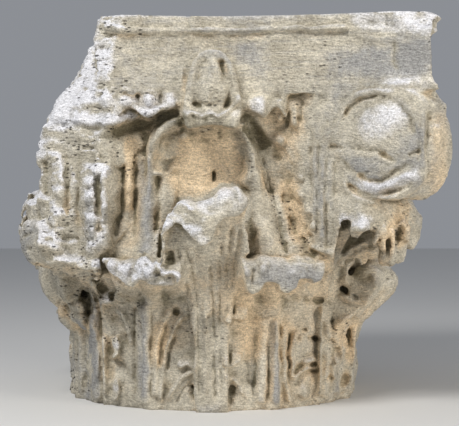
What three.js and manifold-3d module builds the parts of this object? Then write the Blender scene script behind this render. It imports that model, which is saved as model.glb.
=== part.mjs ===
// A weathered Corinthian column capital, carved from one block of stone, in millimetres.
// The column axis is Z, the lower bed is the plane z = 0 and the best kept face looks along -Y.
// Its left side is broken: both left horns of the abacus and the volutes under them are gone.
import * as THREE from "three";
import { mergeVertices } from "three/addons/utils/BufferGeometryUtils.js";
import Module from "manifold-3d";

const wasm = await Module();
wasm.setup();

// Driving dimensions.
const HEIGHT = 550; // lower bed to upper bed
const ABACUS_BOTTOM = 443; // underside of the abacus
const ABACUS_MIDDLE = 242; // axis to the middle of each hollow side
const HORN_NEAR = 280; // along a side, from its middle to the corner of a horn
const HORN_FAR = 312; // out from the axis to the same corner
const BELL_RADIUS = 200; // bell behind the leaves
const BELL_CORE = 172; // depth to which carved work runs into the bell
const LEAF_FOOT = 213; // radius of the leaves at the lower bed
const LEAVES = 8; // in each of the two rows
const STALK_RADIUS = 232; // radius at which a distance along a side becomes an angle
const SPALL = 11; // depth of the bumps on a broken face

// The volute of a corner: the middle of its face along and out from the side, and the turn of that face.
const VOLUTE = { along: 232, out: 288, turn: 0.577, height: 374, radius: 66, reach: 67 };

const QUARTER = Math.PI / 2;
const LEAF_STEP = (2 * Math.PI) / LEAVES;

const clamp = (value, low, high) => Math.min(high, Math.max(low, value));
const mix = (a, b, t) => a + (b - a) * t;
const smooth = (low, high, value) => {
  const t = clamp((value - low) / (high - low), 0, 1);
  return t * t * (3 - 2 * t);
};

// Straight-line interpolation through a short list of [position, value] pairs.
function ramp(pairs, position) {
  if (position <= pairs[0][0]) return pairs[0][1];
  for (let i = 1; i < pairs.length; i++) {
    const [p0, v0] = pairs[i - 1];
    const [p1, v1] = pairs[i];
    if (position <= p1) return mix(v0, v1, (position - p0) / (p1 - p0));
  }
  return pairs[pairs.length - 1][1];
}

// The point at a radius, an angle from the front towards the right, and a height.
const polar = (radius, angle, z) => [radius * Math.sin(angle), -radius * Math.cos(angle), z];

// A curve through a short list of [across, height] pairs.
const spline = (pairs) => new THREE.SplineCurve(pairs.map(([a, b]) => new THREE.Vector2(a, b)));

// Slow bumps between about -1 and 1, the same on every run, for broken stone.
function bump(a, b, seed) {
  const broad = Math.sin(a * 0.047 + seed) * Math.cos(b * 0.039 - seed * 1.7);
  const middling = 0.6 * Math.sin(a * 0.101 - b * 0.083 + seed * 2.3);
  const small = 0.35 * Math.cos(a * 0.19 + b * 0.21 + seed);
  return (broad + middling + small) / 1.95;
}

// Moves every vertex of a geometry through map(x, y, z), which returns [x, y, z].
function bend(geometry, map) {
  const position = geometry.getAttribute("position");
  for (let i = 0; i < position.count; i++) {
    position.setXYZ(i, ...map(position.getX(i), position.getY(i), position.getZ(i)));
  }
  return geometry;
}

// A block cut into a grid and bent: u runs -1..1 to the right, v 0..1 upwards, w -1..1 outwards.
function block(across, along, map) {
  const box = new THREE.BoxGeometry(2, 1, 2, across, along, 1);
  return bend(box, (x, y, z) => map(x, y + 0.5, z));
}

// A closed geometry as a manifold solid, turned right side out where a mirror or a profile reversed it.
function solid(geometry) {
  const bare = new THREE.BufferGeometry().setAttribute("position", geometry.getAttribute("position"));
  if (geometry.index) bare.setIndex(geometry.index);
  const merged = mergeVertices(bare, 1e-3);
  const triVerts = new Uint32Array(merged.index.array);
  const vertProperties = new Float32Array(merged.attributes.position.array);
  const make = () => new wasm.Manifold(new wasm.Mesh({ numProp: 3, vertProperties, triVerts }));
  const made = make();
  if (made.volume() >= 0) return made;
  for (let i = 0; i < triVerts.length; i += 3) {
    [triVerts[i + 1], triVerts[i + 2]] = [triVerts[i + 2], triVerts[i + 1]];
  }
  return make();
}

// The bell: a turned core that swells into a rounded lip under the abacus. Each pair is [radius, height].
const BELL_FOOT = [
  [0, 0],
  [206, 0],
  [206, 12],
];
const BELL_WALL = [
  [BELL_RADIUS, 40],
  [BELL_RADIUS, 250],
  [207, 330],
  [219, 385],
  [229, 412],
  [240, 420],
];
const BELL_LIP = [
  [243, 432],
  [237, 446],
  [200, 470],
  [0, 470],
];
const wallHeights = BELL_WALL.map(([radius, height]) => [height, radius]);
const bellRadius = (z) => ramp(wallHeights, z);

function bell() {
  const outline = [...BELL_FOOT, ...BELL_WALL, ...BELL_LIP];
  const profile = outline.map(([radius, z]) => new THREE.Vector2(radius, z));
  return new THREE.LatheGeometry(profile, 24).rotateX(QUARTER);
}

// The abacus: four hollow sides that meet in cut horns. Its profile goes up a fillet, a cavetto, a fillet
// and an ovolo. Each pair is [share of the full width, height].
const ABACUS_PROFILE = [
  [0, ABACUS_BOTTOM],
  [0.965, ABACUS_BOTTOM],
  [0.965, 452],
  [0.948, 460],
  [0.948, 488],
  [0.964, 521],
  [0.986, 526],
  [0.988, 533],
  [1, 539],
  [0.994, HEIGHT],
  [0, HEIGHT],
];
const SIDE_STEPS = 6;
const abacusOut = (x) => ABACUS_MIDDLE + (HORN_FAR - ABACUS_MIDDLE) * (x / HORN_NEAR) ** 2;

function abacus() {
  const corners = SIDE_STEPS + 1;
  const profile = ABACUS_PROFILE.map(([share, z]) => new THREE.Vector2(share, z));
  const lathe = new THREE.LatheGeometry(profile, 4 * corners).rotateX(QUARTER);
  return bend(lathe, (x, y, z) => {
    const share = Math.hypot(x, y);
    const step = Math.round((Math.atan2(y, x) / (2 * Math.PI) + 1) * 4 * corners);
    const turn = (Math.floor(step / corners) % 4) * QUARTER;
    const along = mix(-HORN_NEAR, HORN_NEAR, (step % corners) / SIDE_STEPS);
    const out = abacusOut(along);
    return [
      share * (along * Math.cos(turn) + out * Math.sin(turn)),
      share * (along * Math.sin(turn) - out * Math.cos(turn)),
      z,
    ];
  });
}

// An acanthus leaf, bent along a spine of [radius, height] points. lean scales how far its head comes out.
// Side lobes overlap one another up the blade, a rib runs up its middle, and the head hangs in teeth.
function leaf({ angle, spine, lean, halfWidth, backing, lobe, rib, across, along }) {
  const curve = spline(spine.map(([r, z]) => [mix(LEAF_FOOT, r, lean), z]));
  const toothPhase = Math.sin(angle * 7);
  return block(across, along, (u, v, w) => {
    const side = Math.abs(u);
    const head = smooth(0.72, 0.95, v);
    const tooth = 0.5 + 0.5 * Math.cos(u * Math.PI * 2.2 + toothPhase);
    const reach = clamp(v * (1 - 0.075 * head * tooth), 0, 1);
    const p = curve.getPointAt(reach);
    const t = curve.getTangentAt(reach);
    const rise = (p.y + lobe.sweep * (1 - side) ** 1.5 + lobe.start) / lobe.pitch;
    const fold = rise - Math.floor(rise);
    const blade = smooth(lobe.from, lobe.from + 0.12, reach) * (1 - head);
    const notch = 0.16 * blade * Math.max(0, 2 * fold - 1) * smooth(0.6, 1, side);
    const ribRelief = rib * (1 - smooth(0, 0.3, side)) * (1 - 0.6 * head);
    const lobeRelief = blade * lobe.depth * smooth(0.25, 0.9, side) * (1 - fold);
    const furrow = 3 * smooth(0.1, 0.25, side) * (1 - smooth(0.25, 0.6, side));
    const off = w > 0 ? ribRelief + lobeRelief - furrow : -ramp(backing, reach);
    const turn = (u * ramp(halfWidth, reach) * (1 - notch)) / Math.max(p.x, BELL_RADIUS);
    const droop = head * 16 * side ** 3;
    return polar(p.x + t.y * off, angle + turn, Math.max(0, p.y - t.x * off - droop));
  });
}

// The lower row of leaves, which stand between the faces and the corners. Those beside the right and left
// faces have lost the front of their heads, so they lean out less and hang lower.
function lowerLeaf(angle, fine) {
  const worn = Math.abs(Math.sin(angle)) > 0.8;
  return leaf({
    angle,
    lean: worn ? 0.75 : 1,
    spine: [
      [LEAF_FOOT, 0],
      [214, 80],
      [217, 132],
      [227, 170],
      [246, 195],
      [266, 202],
      [281, 194],
      [285, worn ? 146 : 168],
    ],
    halfWidth: [
      [0, 62],
      [0.5, 76],
      [0.72, 66],
      [0.9, 57],
      [1, 44],
    ],
    backing: [
      [0, 40],
      [0.55, 50],
      [0.72, 34],
      [1, worn ? 26 : 18],
    ],
    lobe: { pitch: 58, start: 22, sweep: 90, depth: 13, from: 0 },
    rib: 9,
    across: fine && !worn ? 8 : 4,
    along: fine && !worn ? 10 : 7,
  });
}

// The upper row: a fluted stem between two lower leaves that opens into a leaning head. Those under the
// corners reach further out than those on the faces.
function upperLeaf(angle, corner, fine) {
  const face = [
    [LEAF_FOOT, 0],
    [216, 110],
    [222, 185],
    [234, 235],
    [256, 275],
    [280, 290],
    [298, 285],
    [305, 267],
    [303, 242],
  ];
  const horn = [
    [LEAF_FOOT, 0],
    [216, 110],
    [226, 165],
    [245, 210],
    [277, 246],
    [306, 262],
    [326, 258],
    [334, 236],
    [331, 203],
  ];
  return leaf({
    angle,
    spine: corner ? horn : face,
    lean: corner ? 0.94 : 1 - 0.12 * Math.abs(Math.sin(angle)),
    halfWidth: [
      [0, 24],
      [0.4, 25],
      [0.55, 56],
      [0.75, 58],
      [0.9, 49],
      [1, 36],
    ],
    backing: [
      [0, 40],
      [0.5, 60],
      [0.62, corner ? 62 : 50],
      [0.78, 28],
      [1, 18],
    ],
    lobe: { pitch: 52, start: 10, sweep: 70, depth: 12, from: 0.42 },
    rib: 8,
    across: fine ? 8 : 4,
    along: fine ? 10 : 6,
  });
}

// A stalk on the bell, along a path of [along the side, height] points. half and swell are its half width
// and how far it stands off the bell, at its foot and at its tip.
function stalk(mirror, path, half, swell, fine) {
  const curve = spline(path);
  return block(fine ? 4 : 2, fine ? 7 : 5, (u, v, w) => {
    const p = curve.getPointAt(v);
    const t = curve.getTangentAt(v);
    const sideways = u * mix(half[0], half[1], v);
    const x = p.x + t.y * sideways;
    const z = p.y - t.x * sideways;
    const front = bellRadius(z) + mix(swell[0], swell[1], v) * Math.cos(u * 1.2);
    return polar(w > 0 ? front : BELL_CORE, (mirror * x) / STALK_RADIUS, z);
  });
}

// A whole stalk bends over at its top towards the flower, and a broken one tapers straight to it.
function wholeStalk(mirror, fine) {
  const path = [
    [90, 190],
    [89, 300],
    [87, 352],
    [76, 388],
    [44, 408],
  ];
  return stalk(mirror, path, [17, 10], [30, 24], fine);
}

function brokenStalk(mirror, fine) {
  const path = [
    [83, 190],
    [76, 270],
    [63, 342],
    [44, 404],
  ];
  return stalk(mirror, path, [26, 6], [30, 16], fine);
}

// The flat web of a corner, which carries the volute: how far out it stands at a distance along the side.
const webOut = (x) => VOLUTE.out + Math.tan(VOLUTE.turn) * (x - VOLUTE.along);

// The fan of crumpled leaf between the stalk and the volute, with a ragged inner edge.
function fan(mirror, fine) {
  const innerEdge = [
    [230, 127],
    [300, 117],
    [375, 101],
    [430, 90],
  ];
  const outerEdge = [
    [212, 168],
    [300, 182],
    [374, 184],
    [440, 215],
  ];
  return block(fine ? 4 : 2, fine ? 7 : 4, (u, v, w) => {
    const z = mix(212, 440, v);
    const ragged = 6 * Math.cos(z * 0.21);
    const x = mix(ramp(innerEdge, z) + ragged, ramp(outerEdge, z), (u + 1) / 2);
    const round = Math.sqrt(Math.max(bellRadius(z) ** 2 - x * x, 1));
    const relief = 9 + 5 * Math.cos(u * 4.2 + 0.4) + 2 * Math.cos(z * 0.11 + u * 3);
    const front = Math.max(round, webOut(x)) + relief * smooth(205, 250, z);
    return [mirror * x, w > 0 ? -front : 45 - round, z];
  });
}

// The folded leaf tips that overhang the bell under the abacus, beside the flower. On the right of the
// front they are broken short.
function canopy(mirror, fine) {
  const reach = fine && mirror > 0 ? 104 : 136;
  return block(fine ? 5 : 3, 1, (u, v, w) => {
    const x = mix(38, reach, (u + 1) / 2);
    const z = mix(417 - 7 * Math.cos(u * 6), ABACUS_BOTTOM + 12, v);
    const front = abacusOut(x) - 8 + 6 * Math.cos(u * 5.2) - 10 * v;
    return [mirror * x, w > 0 ? -front : -150, z];
  });
}

// A point on the web of the front right corner. s runs outwards along the web from the middle of the
// volute, and side goes from -1 on the front face to 1 on the right face.
function webPoint(s, side, z) {
  const along = VOLUTE.along + s * Math.cos(VOLUTE.turn);
  const out = VOLUTE.out + s * Math.sin(VOLUTE.turn);
  const share = (side + 1) / 2;
  return [mix(along, out, share), -mix(out, along, share), z];
}

// The solid stone of a corner, from the bell out to its volute. Each pair is [height, outer end].
function web() {
  const outer = [
    [170, -190],
    [210, -165],
    [250, -122],
    [290, -84],
    [312, -50],
    [335, 20],
    [362, 52],
    [425, 58],
    [450, 30],
  ];
  return block(1, 7, (u, v, w) => {
    const z = mix(170, ABACUS_BOTTOM + 10, v);
    return webPoint(w > 0 ? ramp(outer, z) : -205, u, z);
  });
}

// The volute of a corner: a thick roll whose two faces carry a disc, a groove and a rim. Each pair is
// [share of the radius, share of half the thickness].
function volute(fine) {
  const face = [
    [0, 1.28],
    [0.5, 1.26],
    [0.77, 1.18],
    [0.81, 1.03],
    [0.86, 1.2],
    [0.97, 1.16],
  ];
  const otherFace = face.map(([share, side]) => [share, -side]);
  const outline = [...otherFace, [1.03, 0], ...face.toReversed()];
  const profile = outline.map(([share, side]) => new THREE.Vector2(share, side));
  return bend(new THREE.LatheGeometry(profile, fine ? 20 : 12), (x, side, y) =>
    webPoint(x * VOLUTE.reach, side, VOLUTE.height + y * VOLUTE.radius),
  );
}

// The flower on the middle of a side: a bud in front of a hooded leaf, in a cup that juts out at its foot.
function flower(fine) {
  const low = 398;
  const high = 501;
  const outline = [
    [low, 34],
    [420, 42],
    [470, 35],
    [high, 22],
  ];
  const hood = block(4, fine ? 6 : 4, (u, v, w) => {
    const z = mix(low, high, v);
    const rim = 8 * smooth(0.45, 0.8, Math.abs(u));
    const cup = 27 * (1 - smooth(0.06, 0.24, v)) * (1 - 0.45 * u * u);
    const front = ABACUS_MIDDLE + 8 + rim + cup;
    return [u * ramp(outline, z), w > 0 ? -front : -205, z - cup * 0.25 * u * u];
  });
  const ball = new THREE.SphereGeometry(1, fine ? 8 : 6, fine ? 7 : 5).rotateX(QUARTER);
  const bud = bend(ball, (x, y, z) => {
    const taper = 1 - 0.35 * smooth(-0.2, 1, z);
    return [x * 23 * taper, y * 20 * taper - ABACUS_MIDDLE - 10, z * 40 + 452];
  });
  return [hood, bud];
}

// A block of space with one rough face, for taking broken stone away. The face passes through point, and
// the stone beyond it, along normal, goes.
function breakage(point, normal, size, steps, seed) {
  const box = new THREE.BoxGeometry(size, size, size, steps, steps, 1).translate(0, 0, size / 2);
  bend(box, (x, y, z) => [x, y, z > size / 2 ? z : z + SPALL * bump(x, y, seed)]);
  const up = new THREE.Vector3(0, 0, 1);
  const aim = new THREE.Quaternion().setFromUnitVectors(up, new THREE.Vector3(...normal).normalize());
  return solid(box.applyQuaternion(aim).translate(...point));
}

// The break on the left. A slope took off the front horn behind the clean end of the moulding, two more
// ran down the whole side, and a steep face took the front volute and half of the leaf under it.
function leftBreak() {
  const end = breakage([-164, -266, 500], [-1, 0, 0], 700, 5, 1.1);
  const slope = breakage([-177, -112, 537], [-0.57, -0.54, 0.62], 700, 7, 2.7);
  const edge = breakage([-254, -200, 400], [-1, 0.05, 0.03], 700, 6, 1.9);
  const aboveLeaf = breakage([-240, -200, 296], [-0.1, -0.1, 0.98], 700, 3, 0.4);
  const side = breakage([-165, 60, 520], [-0.9, 0.05, 0.43], 1000, 8, 4.2);
  const top = breakage([-167, -100, 527], [-0.73, 0.13, 0.67], 1000, 8, 0.9);
  const steep = breakage([-213, -215, 300], [-0.5, -0.86, 0.04], 700, 7, 5.3);
  const leafHalf = breakage([-240, -240, 248], [0.6, -0.5, 0.62], 700, 3, 3.1);
  const frontHorn = end.intersect(slope).add(edge).intersect(aboveLeaf);
  return frontHorn.add(side).add(top).add(steep.intersect(leafHalf));
}

// A round chip knocked out of an edge.
function chip(centre, radii, seed) {
  const ball = bend(new THREE.IcosahedronGeometry(1, 1), (x, y, z) => {
    const rough = 1 + 0.12 * bump(x * 60, y * 60 + z * 40, seed);
    return [x, y, z].map((value, i) => centre[i] + value * radii[i] * rough);
  });
  return solid(ball);
}

// The chips on the front right horn, where the ovolo has gone.
function hornChips() {
  const ovolo = chip([250, -316, 552], [90, 26, 24], 1.3);
  const tip = chip([332, -304, 562], [50, 50, 34], 2.2);
  return ovolo.add(tip);
}

// The carving of one side, made on the front and turned to its place. The two left corners have no
// volute, and only the front has fine work.
function carvedSide(side) {
  const fine = side === 0;
  const pieces = [...flower(fine), web()];
  if (side < 2) pieces.push(volute(fine));
  for (const mirror of [1, -1]) {
    const upright = fine && mirror > 0 ? brokenStalk : wholeStalk;
    pieces.push(upright(mirror, fine), canopy(mirror, fine), fan(mirror, fine));
  }
  return pieces.map((piece) => piece.rotateZ(side * QUARTER));
}

function leafRows() {
  const seen = (angle) => Math.cos(angle) > 0.1;
  const pieces = [];
  for (let i = 0; i < LEAVES; i++) {
    const low = (i + 0.5) * LEAF_STEP;
    const high = i * LEAF_STEP;
    pieces.push(lowerLeaf(low, seen(low)), upperLeaf(high, i % 2 === 1, seen(high)));
  }
  return pieces;
}

function capital() {
  const pieces = [bell(), abacus(), ...leafRows()];
  for (let side = 0; side < 4; side++) {
    pieces.push(...carvedSide(side));
  }
  const whole = pieces.map(solid).reduce((joined, piece) => joined.add(piece));
  return whole.subtract(leftBreak()).subtract(hornChips());
}

// A manifold solid as a named mesh.
function namedMesh(name, made, material) {
  const { vertProperties, triVerts } = made.getMesh();
  const geometry = new THREE.BufferGeometry();
  geometry.setAttribute("position", new THREE.BufferAttribute(vertProperties, 3));
  geometry.setIndex(new THREE.BufferAttribute(triVerts, 1));
  geometry.computeVertexNormals();
  const mesh = new THREE.Mesh(geometry, material);
  mesh.name = name;
  return mesh;
}

const stone = new THREE.MeshStandardMaterial({ color: 0xb3ac9c, roughness: 0.92, metalness: 0 });
const root = new THREE.Group();
root.add(namedMesh("capital", capital(), stone));

export default root;
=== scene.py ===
"""A weathered Corinthian column capital, carved from one block of stone.

The carving is laid out in millimetres; meshes are in metres. The column axis is Z, the lower bed is
z = 0 and the best kept face looks along -Y.
"""

import logging
import math
from dataclasses import dataclass
from enum import Enum
from typing import Callable, Sequence

import bmesh
import bpy
import numpy as np
from mathutils import Matrix, Vector


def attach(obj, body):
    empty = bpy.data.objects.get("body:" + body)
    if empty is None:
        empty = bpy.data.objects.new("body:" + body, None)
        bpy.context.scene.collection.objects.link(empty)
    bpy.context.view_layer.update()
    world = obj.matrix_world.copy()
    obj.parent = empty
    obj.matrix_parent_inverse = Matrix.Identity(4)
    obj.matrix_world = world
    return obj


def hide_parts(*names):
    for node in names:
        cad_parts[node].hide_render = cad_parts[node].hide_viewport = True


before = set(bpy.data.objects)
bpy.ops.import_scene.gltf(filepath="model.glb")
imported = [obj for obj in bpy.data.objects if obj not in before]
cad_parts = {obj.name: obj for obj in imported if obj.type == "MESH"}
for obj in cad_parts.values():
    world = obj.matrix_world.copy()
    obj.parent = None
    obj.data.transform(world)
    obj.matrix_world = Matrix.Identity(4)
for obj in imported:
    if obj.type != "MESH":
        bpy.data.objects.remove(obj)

LOG = logging.getLogger("capital")

Array = np.ndarray
Points = Sequence[tuple[float, float]]
Shape = Callable[[Array, Array, Array], Array]

MM = 0.001
QUARTER = math.pi / 2

HEIGHT = 550.0
ABACUS_BOTTOM = 443.0
ABACUS_MIDDLE = 242.0
HORN_NEAR = 280.0
HORN_FAR = 312.0
BELL_RADIUS = 200.0
BELL_CORE = 172.0
LEAF_FOOT = 213.0
STALK_RADIUS = 232.0
SPALL = 11.0
VOLUTE_ALONG = 232.0
VOLUTE_OUT = 288.0
VOLUTE_TURN = 0.577
VOLUTE_HEIGHT = 368.0

# The front is drawn as it is seen from a standpoint on the axis, this far off and this high.
STANDPOINT = 2183.0
EYE_HEIGHT = 300.0


def smooth(low: float, high: float, value: Array) -> Array:
    """Ease from 0 at low to 1 at high."""
    t = np.clip((value - low) / (high - low), 0.0, 1.0)
    return t * t * (3.0 - 2.0 * t)


def ramp(pairs: Points, position: Array) -> Array:
    """Read a value off a few (position, value) pairs joined by straight lines."""
    places, values = zip(*pairs)
    return np.interp(position, places, values)


def mix(a: Array, b: Array, share: Array) -> Array:
    """Blend from a to b."""
    return a + (b - a) * share


def polar(radius: Array, angle: Array, z: Array) -> Array:
    """Place points by radius, angle from the front towards the right, and height."""
    radius, angle, z = np.broadcast_arrays(radius, angle, z)
    return np.stack([radius * np.sin(angle), -radius * np.cos(angle), z], axis=1)


def abacus_out(x: Array) -> Array:
    """Distance from the axis to a side of the abacus, at x along that side."""
    return ABACUS_MIDDLE + (HORN_FAR - ABACUS_MIDDLE) * (x / HORN_NEAR) ** 2


class Noise:
    """Repeatable lattice noise in space, between about -1 and 1."""

    def __init__(self, seed: int) -> None:
        """Fill the lattice.

        Args:
            seed: Number that fixes the lattice.
        """
        self.table = np.random.default_rng(seed).uniform(-1, 1, (64, 64, 64))

    def at(self, points: Array, size: float, shift: float = 0.0) -> Array:
        """Read the noise.

        Args:
            points: Places, N by 3.
            size: Width of one bump.
            shift: Moves the pattern.

        Returns:
            One value a place.
        """
        place = points / size + shift
        cell = np.floor(place).astype(int)
        f = place - cell
        f = f * f * (3 - 2 * f)
        total = np.zeros(len(points))
        for dx in (0, 1):
            wx = f[:, 0] if dx else 1 - f[:, 0]
            for dy in (0, 1):
                wy = f[:, 1] if dy else 1 - f[:, 1]
                for dz in (0, 1):
                    wz = f[:, 2] if dz else 1 - f[:, 2]
                    i, j, k = ((cell + (dx, dy, dz)) & 63).T
                    total += self.table[i, j, k] * wx * wy * wz
        return total

    def rough(self, points: Array, size: float, octaves: int = 3, shift: float = 0.0) -> Array:
        """Add up octaves of the noise, each half as wide and half as strong as the last."""
        total = np.zeros(len(points))
        share = 1.0
        for octave in range(octaves):
            total += share * self.at(points, size / 2**octave, shift + 17.3 * octave)
            share *= 0.55
        return total


NOISE = Noise(4)


class Path2:
    """A smooth curve through a few (across, height) points, read by its share of the length."""

    def __init__(self, points: Points) -> None:
        """Sample the curve finely.

        Args:
            points: The points that it passes through.
        """
        pts = np.array(points, float)
        last = len(pts) - 1
        t = np.linspace(0, last, 120 * last + 1)
        i = np.minimum(t.astype(int), last - 1)
        f = (t - i)[:, None]
        p0, p1 = pts[np.maximum(i - 1, 0)], pts[i]
        p2, p3 = pts[i + 1], pts[np.minimum(i + 2, last)]
        v0, v1 = (p2 - p0) / 2, (p3 - p1) / 2
        self.line = (2 * p1 - 2 * p2 + v0 + v1) * f**3 + (-3 * p1 + 3 * p2 - 2 * v0 - v1) * f**2 + v0 * f + p1
        gaps = np.linalg.norm(np.diff(self.line, axis=0), axis=1)
        self.length = np.concatenate([[0], np.cumsum(gaps)])
        tangent = np.gradient(self.line, axis=0)
        self.tangent = tangent / np.linalg.norm(tangent, axis=1)[:, None]

    def at(self, share: Array) -> tuple[Array, Array, Array, Array]:
        """Give across, height and the two parts of the tangent at shares of the length."""
        s = np.clip(share, 0, 1) * self.length[-1]
        read = lambda column: np.interp(s, self.length, column)
        line, tangent = self.line, self.tangent
        return read(line[:, 0]), read(line[:, 1]), read(tangent[:, 0]), read(tangent[:, 1])


def coordinates(mesh: bpy.types.Mesh) -> Array:
    """Read the vertices of a mesh, N by 3."""
    flat = np.empty(len(mesh.vertices) * 3, np.float32)
    mesh.vertices.foreach_get("co", flat)
    return flat.reshape(-1, 3).astype(float)


def move_to(mesh: bpy.types.Mesh, places: Array) -> None:
    """Put the vertices of a mesh at new places."""
    mesh.vertices.foreach_set("co", places.astype(np.float32).ravel())
    mesh.update()


def normals_of(mesh: bpy.types.Mesh) -> Array:
    """Read the vertex normals of a mesh, N by 3."""
    flat = np.empty(len(mesh.vertices) * 3, np.float32)
    mesh.vertex_normals.foreach_get("vector", flat)
    return flat.reshape(-1, 3).astype(float)


def to_mesh(bm: bmesh.types.BMesh, name: str) -> bpy.types.Mesh:
    """Turn a bmesh into a mesh and free it."""
    mesh = bpy.data.meshes.new(name)
    bm.to_mesh(mesh)
    bm.free()
    return mesh


def right_side_out(mesh: bpy.types.Mesh) -> None:
    """Turn a closed mesh right side out where a mirror or a profile reversed it."""
    bm = bmesh.new()
    bm.from_mesh(mesh)
    bmesh.ops.remove_doubles(bm, verts=bm.verts[:], dist=1e-4)
    bmesh.ops.recalc_face_normals(bm, faces=bm.faces[:])
    bm.to_mesh(mesh)
    bm.free()


def slab(name: str, across: int, along: int, shape: Shape) -> bpy.types.Mesh:
    """Make a closed slab from a grid and bend it.

    Args:
        name: Name of the mesh.
        across: Faces from side to side.
        along: Faces from end to end.
        shape: Takes u from -1 to 1 across, v from 0 to 1 along and w, -1 at the back and 1 at the
            front, and gives places in millimetres.

    Returns:
        The bent slab.
    """
    bm = bmesh.new()
    bmesh.ops.create_grid(bm, x_segments=across, y_segments=along, size=1.0)
    made = bmesh.ops.extrude_face_region(bm, geom=bm.faces[:], use_keep_orig=True)
    front = [item for item in made["geom"] if isinstance(item, bmesh.types.BMVert)]
    bmesh.ops.translate(bm, verts=bm.verts[:], vec=(0, 0, -1))
    bmesh.ops.translate(bm, verts=front, vec=(0, 0, 2))
    mesh = to_mesh(bm, name)
    flat = coordinates(mesh)
    move_to(mesh, shape(flat[:, 0], (flat[:, 1] + 1) / 2, flat[:, 2]))
    right_side_out(mesh)
    return mesh


def turned(name: str, profile: Points, steps: int, shape: Shape | None = None) -> bpy.types.Mesh:
    """Spin a profile of (radius, height) points about the axis, and bend the result if asked."""
    bm = bmesh.new()
    verts = [bm.verts.new((radius, 0, z)) for radius, z in profile]
    edges = [bm.edges.new(pair) for pair in zip(verts, verts[1:])]
    bmesh.ops.spin(
        bm, geom=verts + edges, cent=(0, 0, 0), axis=(0, 0, 1), angle=2 * math.pi, steps=steps, use_merge=True
    )
    bmesh.ops.remove_doubles(bm, verts=bm.verts[:], dist=1e-5)
    mesh = to_mesh(bm, name)
    if shape:
        flat = coordinates(mesh)
        move_to(mesh, shape(flat[:, 0], flat[:, 1], flat[:, 2]))
    right_side_out(mesh)
    return mesh


@dataclass(frozen=True)
class Bell:
    """The turned core that swells into a rounded lip under the abacus."""

    foot: Points = ((0, -8), (206, -8), (206, 12))
    wall: Points = ((BELL_RADIUS, 40), (BELL_RADIUS, 250), (207, 330), (219, 385), (229, 412), (240, 420))
    lip: Points = ((243, 432), (237, 446), (200, 470), (0, 470))

    def radius(self, z: Array) -> Array:
        """Radius of the wall at a height."""
        return ramp([(height, radius) for radius, height in self.wall], z)

    def build(self) -> bpy.types.Mesh:
        """Make the mesh of the bell."""
        return turned("bell", [*self.foot, *self.wall, *self.lip], 128)


BELL = Bell()


@dataclass(frozen=True)
class Abacus:
    """The slab on top: four hollow sides with their mouldings, and cut horns between them."""

    side_steps: int = 60
    profile: Points = (
        (0, ABACUS_BOTTOM),
        (0.962, ABACUS_BOTTOM),
        (0.966, 445),
        (0.966, 451),
        (0.950, 455),
        (0.945, 462),
        (0.945, 486),
        (0.949, 502),
        (0.957, 514),
        (0.961, 521),
        (0.980, 523),
        (0.985, 525),
        (0.985, 531),
        (0.977, 534),
        (0.982, 536),
        (0.996, 540),
        (1.0, 544),
        (0.999, HEIGHT),
        (0.997, HEIGHT + 8),
        (0, HEIGHT + 8),
    )

    def outline(self, x: Array, y: Array, z: Array) -> Array:
        """Move a turned profile out to the hollow sides."""
        corners = self.side_steps + 1
        share = np.hypot(x, y)
        step = np.round((np.arctan2(y, x) / (2 * math.pi) + 1) * 4 * corners).astype(int)
        turn = (step // corners % 4) * QUARTER
        along = mix(-HORN_NEAR, HORN_NEAR, (step % corners) / self.side_steps)
        out = abacus_out(along)
        return np.stack(
            [
                share * (along * np.cos(turn) + out * np.sin(turn)),
                share * (along * np.sin(turn) - out * np.cos(turn)),
                z,
            ],
            axis=1,
        )

    def build(self) -> bpy.types.Mesh:
        """Make the mesh of the abacus."""
        return turned("abacus", self.profile, 4 * (self.side_steps + 1), self.outline)


ABACUS = Abacus()


@dataclass(frozen=True)
class HornPoint:
    """The kept point of the right front horn, which runs out almost square to the front."""

    start: float = 225.0
    reach: Points = (
        (ABACUS_BOTTOM, 305), (452, 299), (462, 294), (486, 293), (521, 292), (532, 297), (540, 295),
        (546, 288), (558, 282),
    )

    def shape(self, u: Array, v: Array, w: Array) -> Array:
        """Bend a slab into the point."""
        z = mix(ABACUS_BOTTOM, HEIGHT + 8, v)
        x = mix(self.start, ramp(self.reach, z), (u + 1) / 2)
        share = ramp([(height, out) for out, height in ABACUS.profile[2:-1]], z)
        return np.stack([x, np.where(w > 0, -share * abacus_out(x / share), -236), z], axis=1)

    def build(self) -> bpy.types.Mesh:
        """Make the mesh of the point."""
        return slab("horn point", 24, 60, self.shape)


@dataclass(frozen=True)
class Lobes:
    """How the side lobes of a leaf overlap up its blade, in millimetres and shares of its length."""

    pitch: float
    start: float
    sweep: float
    depth: float
    first: float


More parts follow.
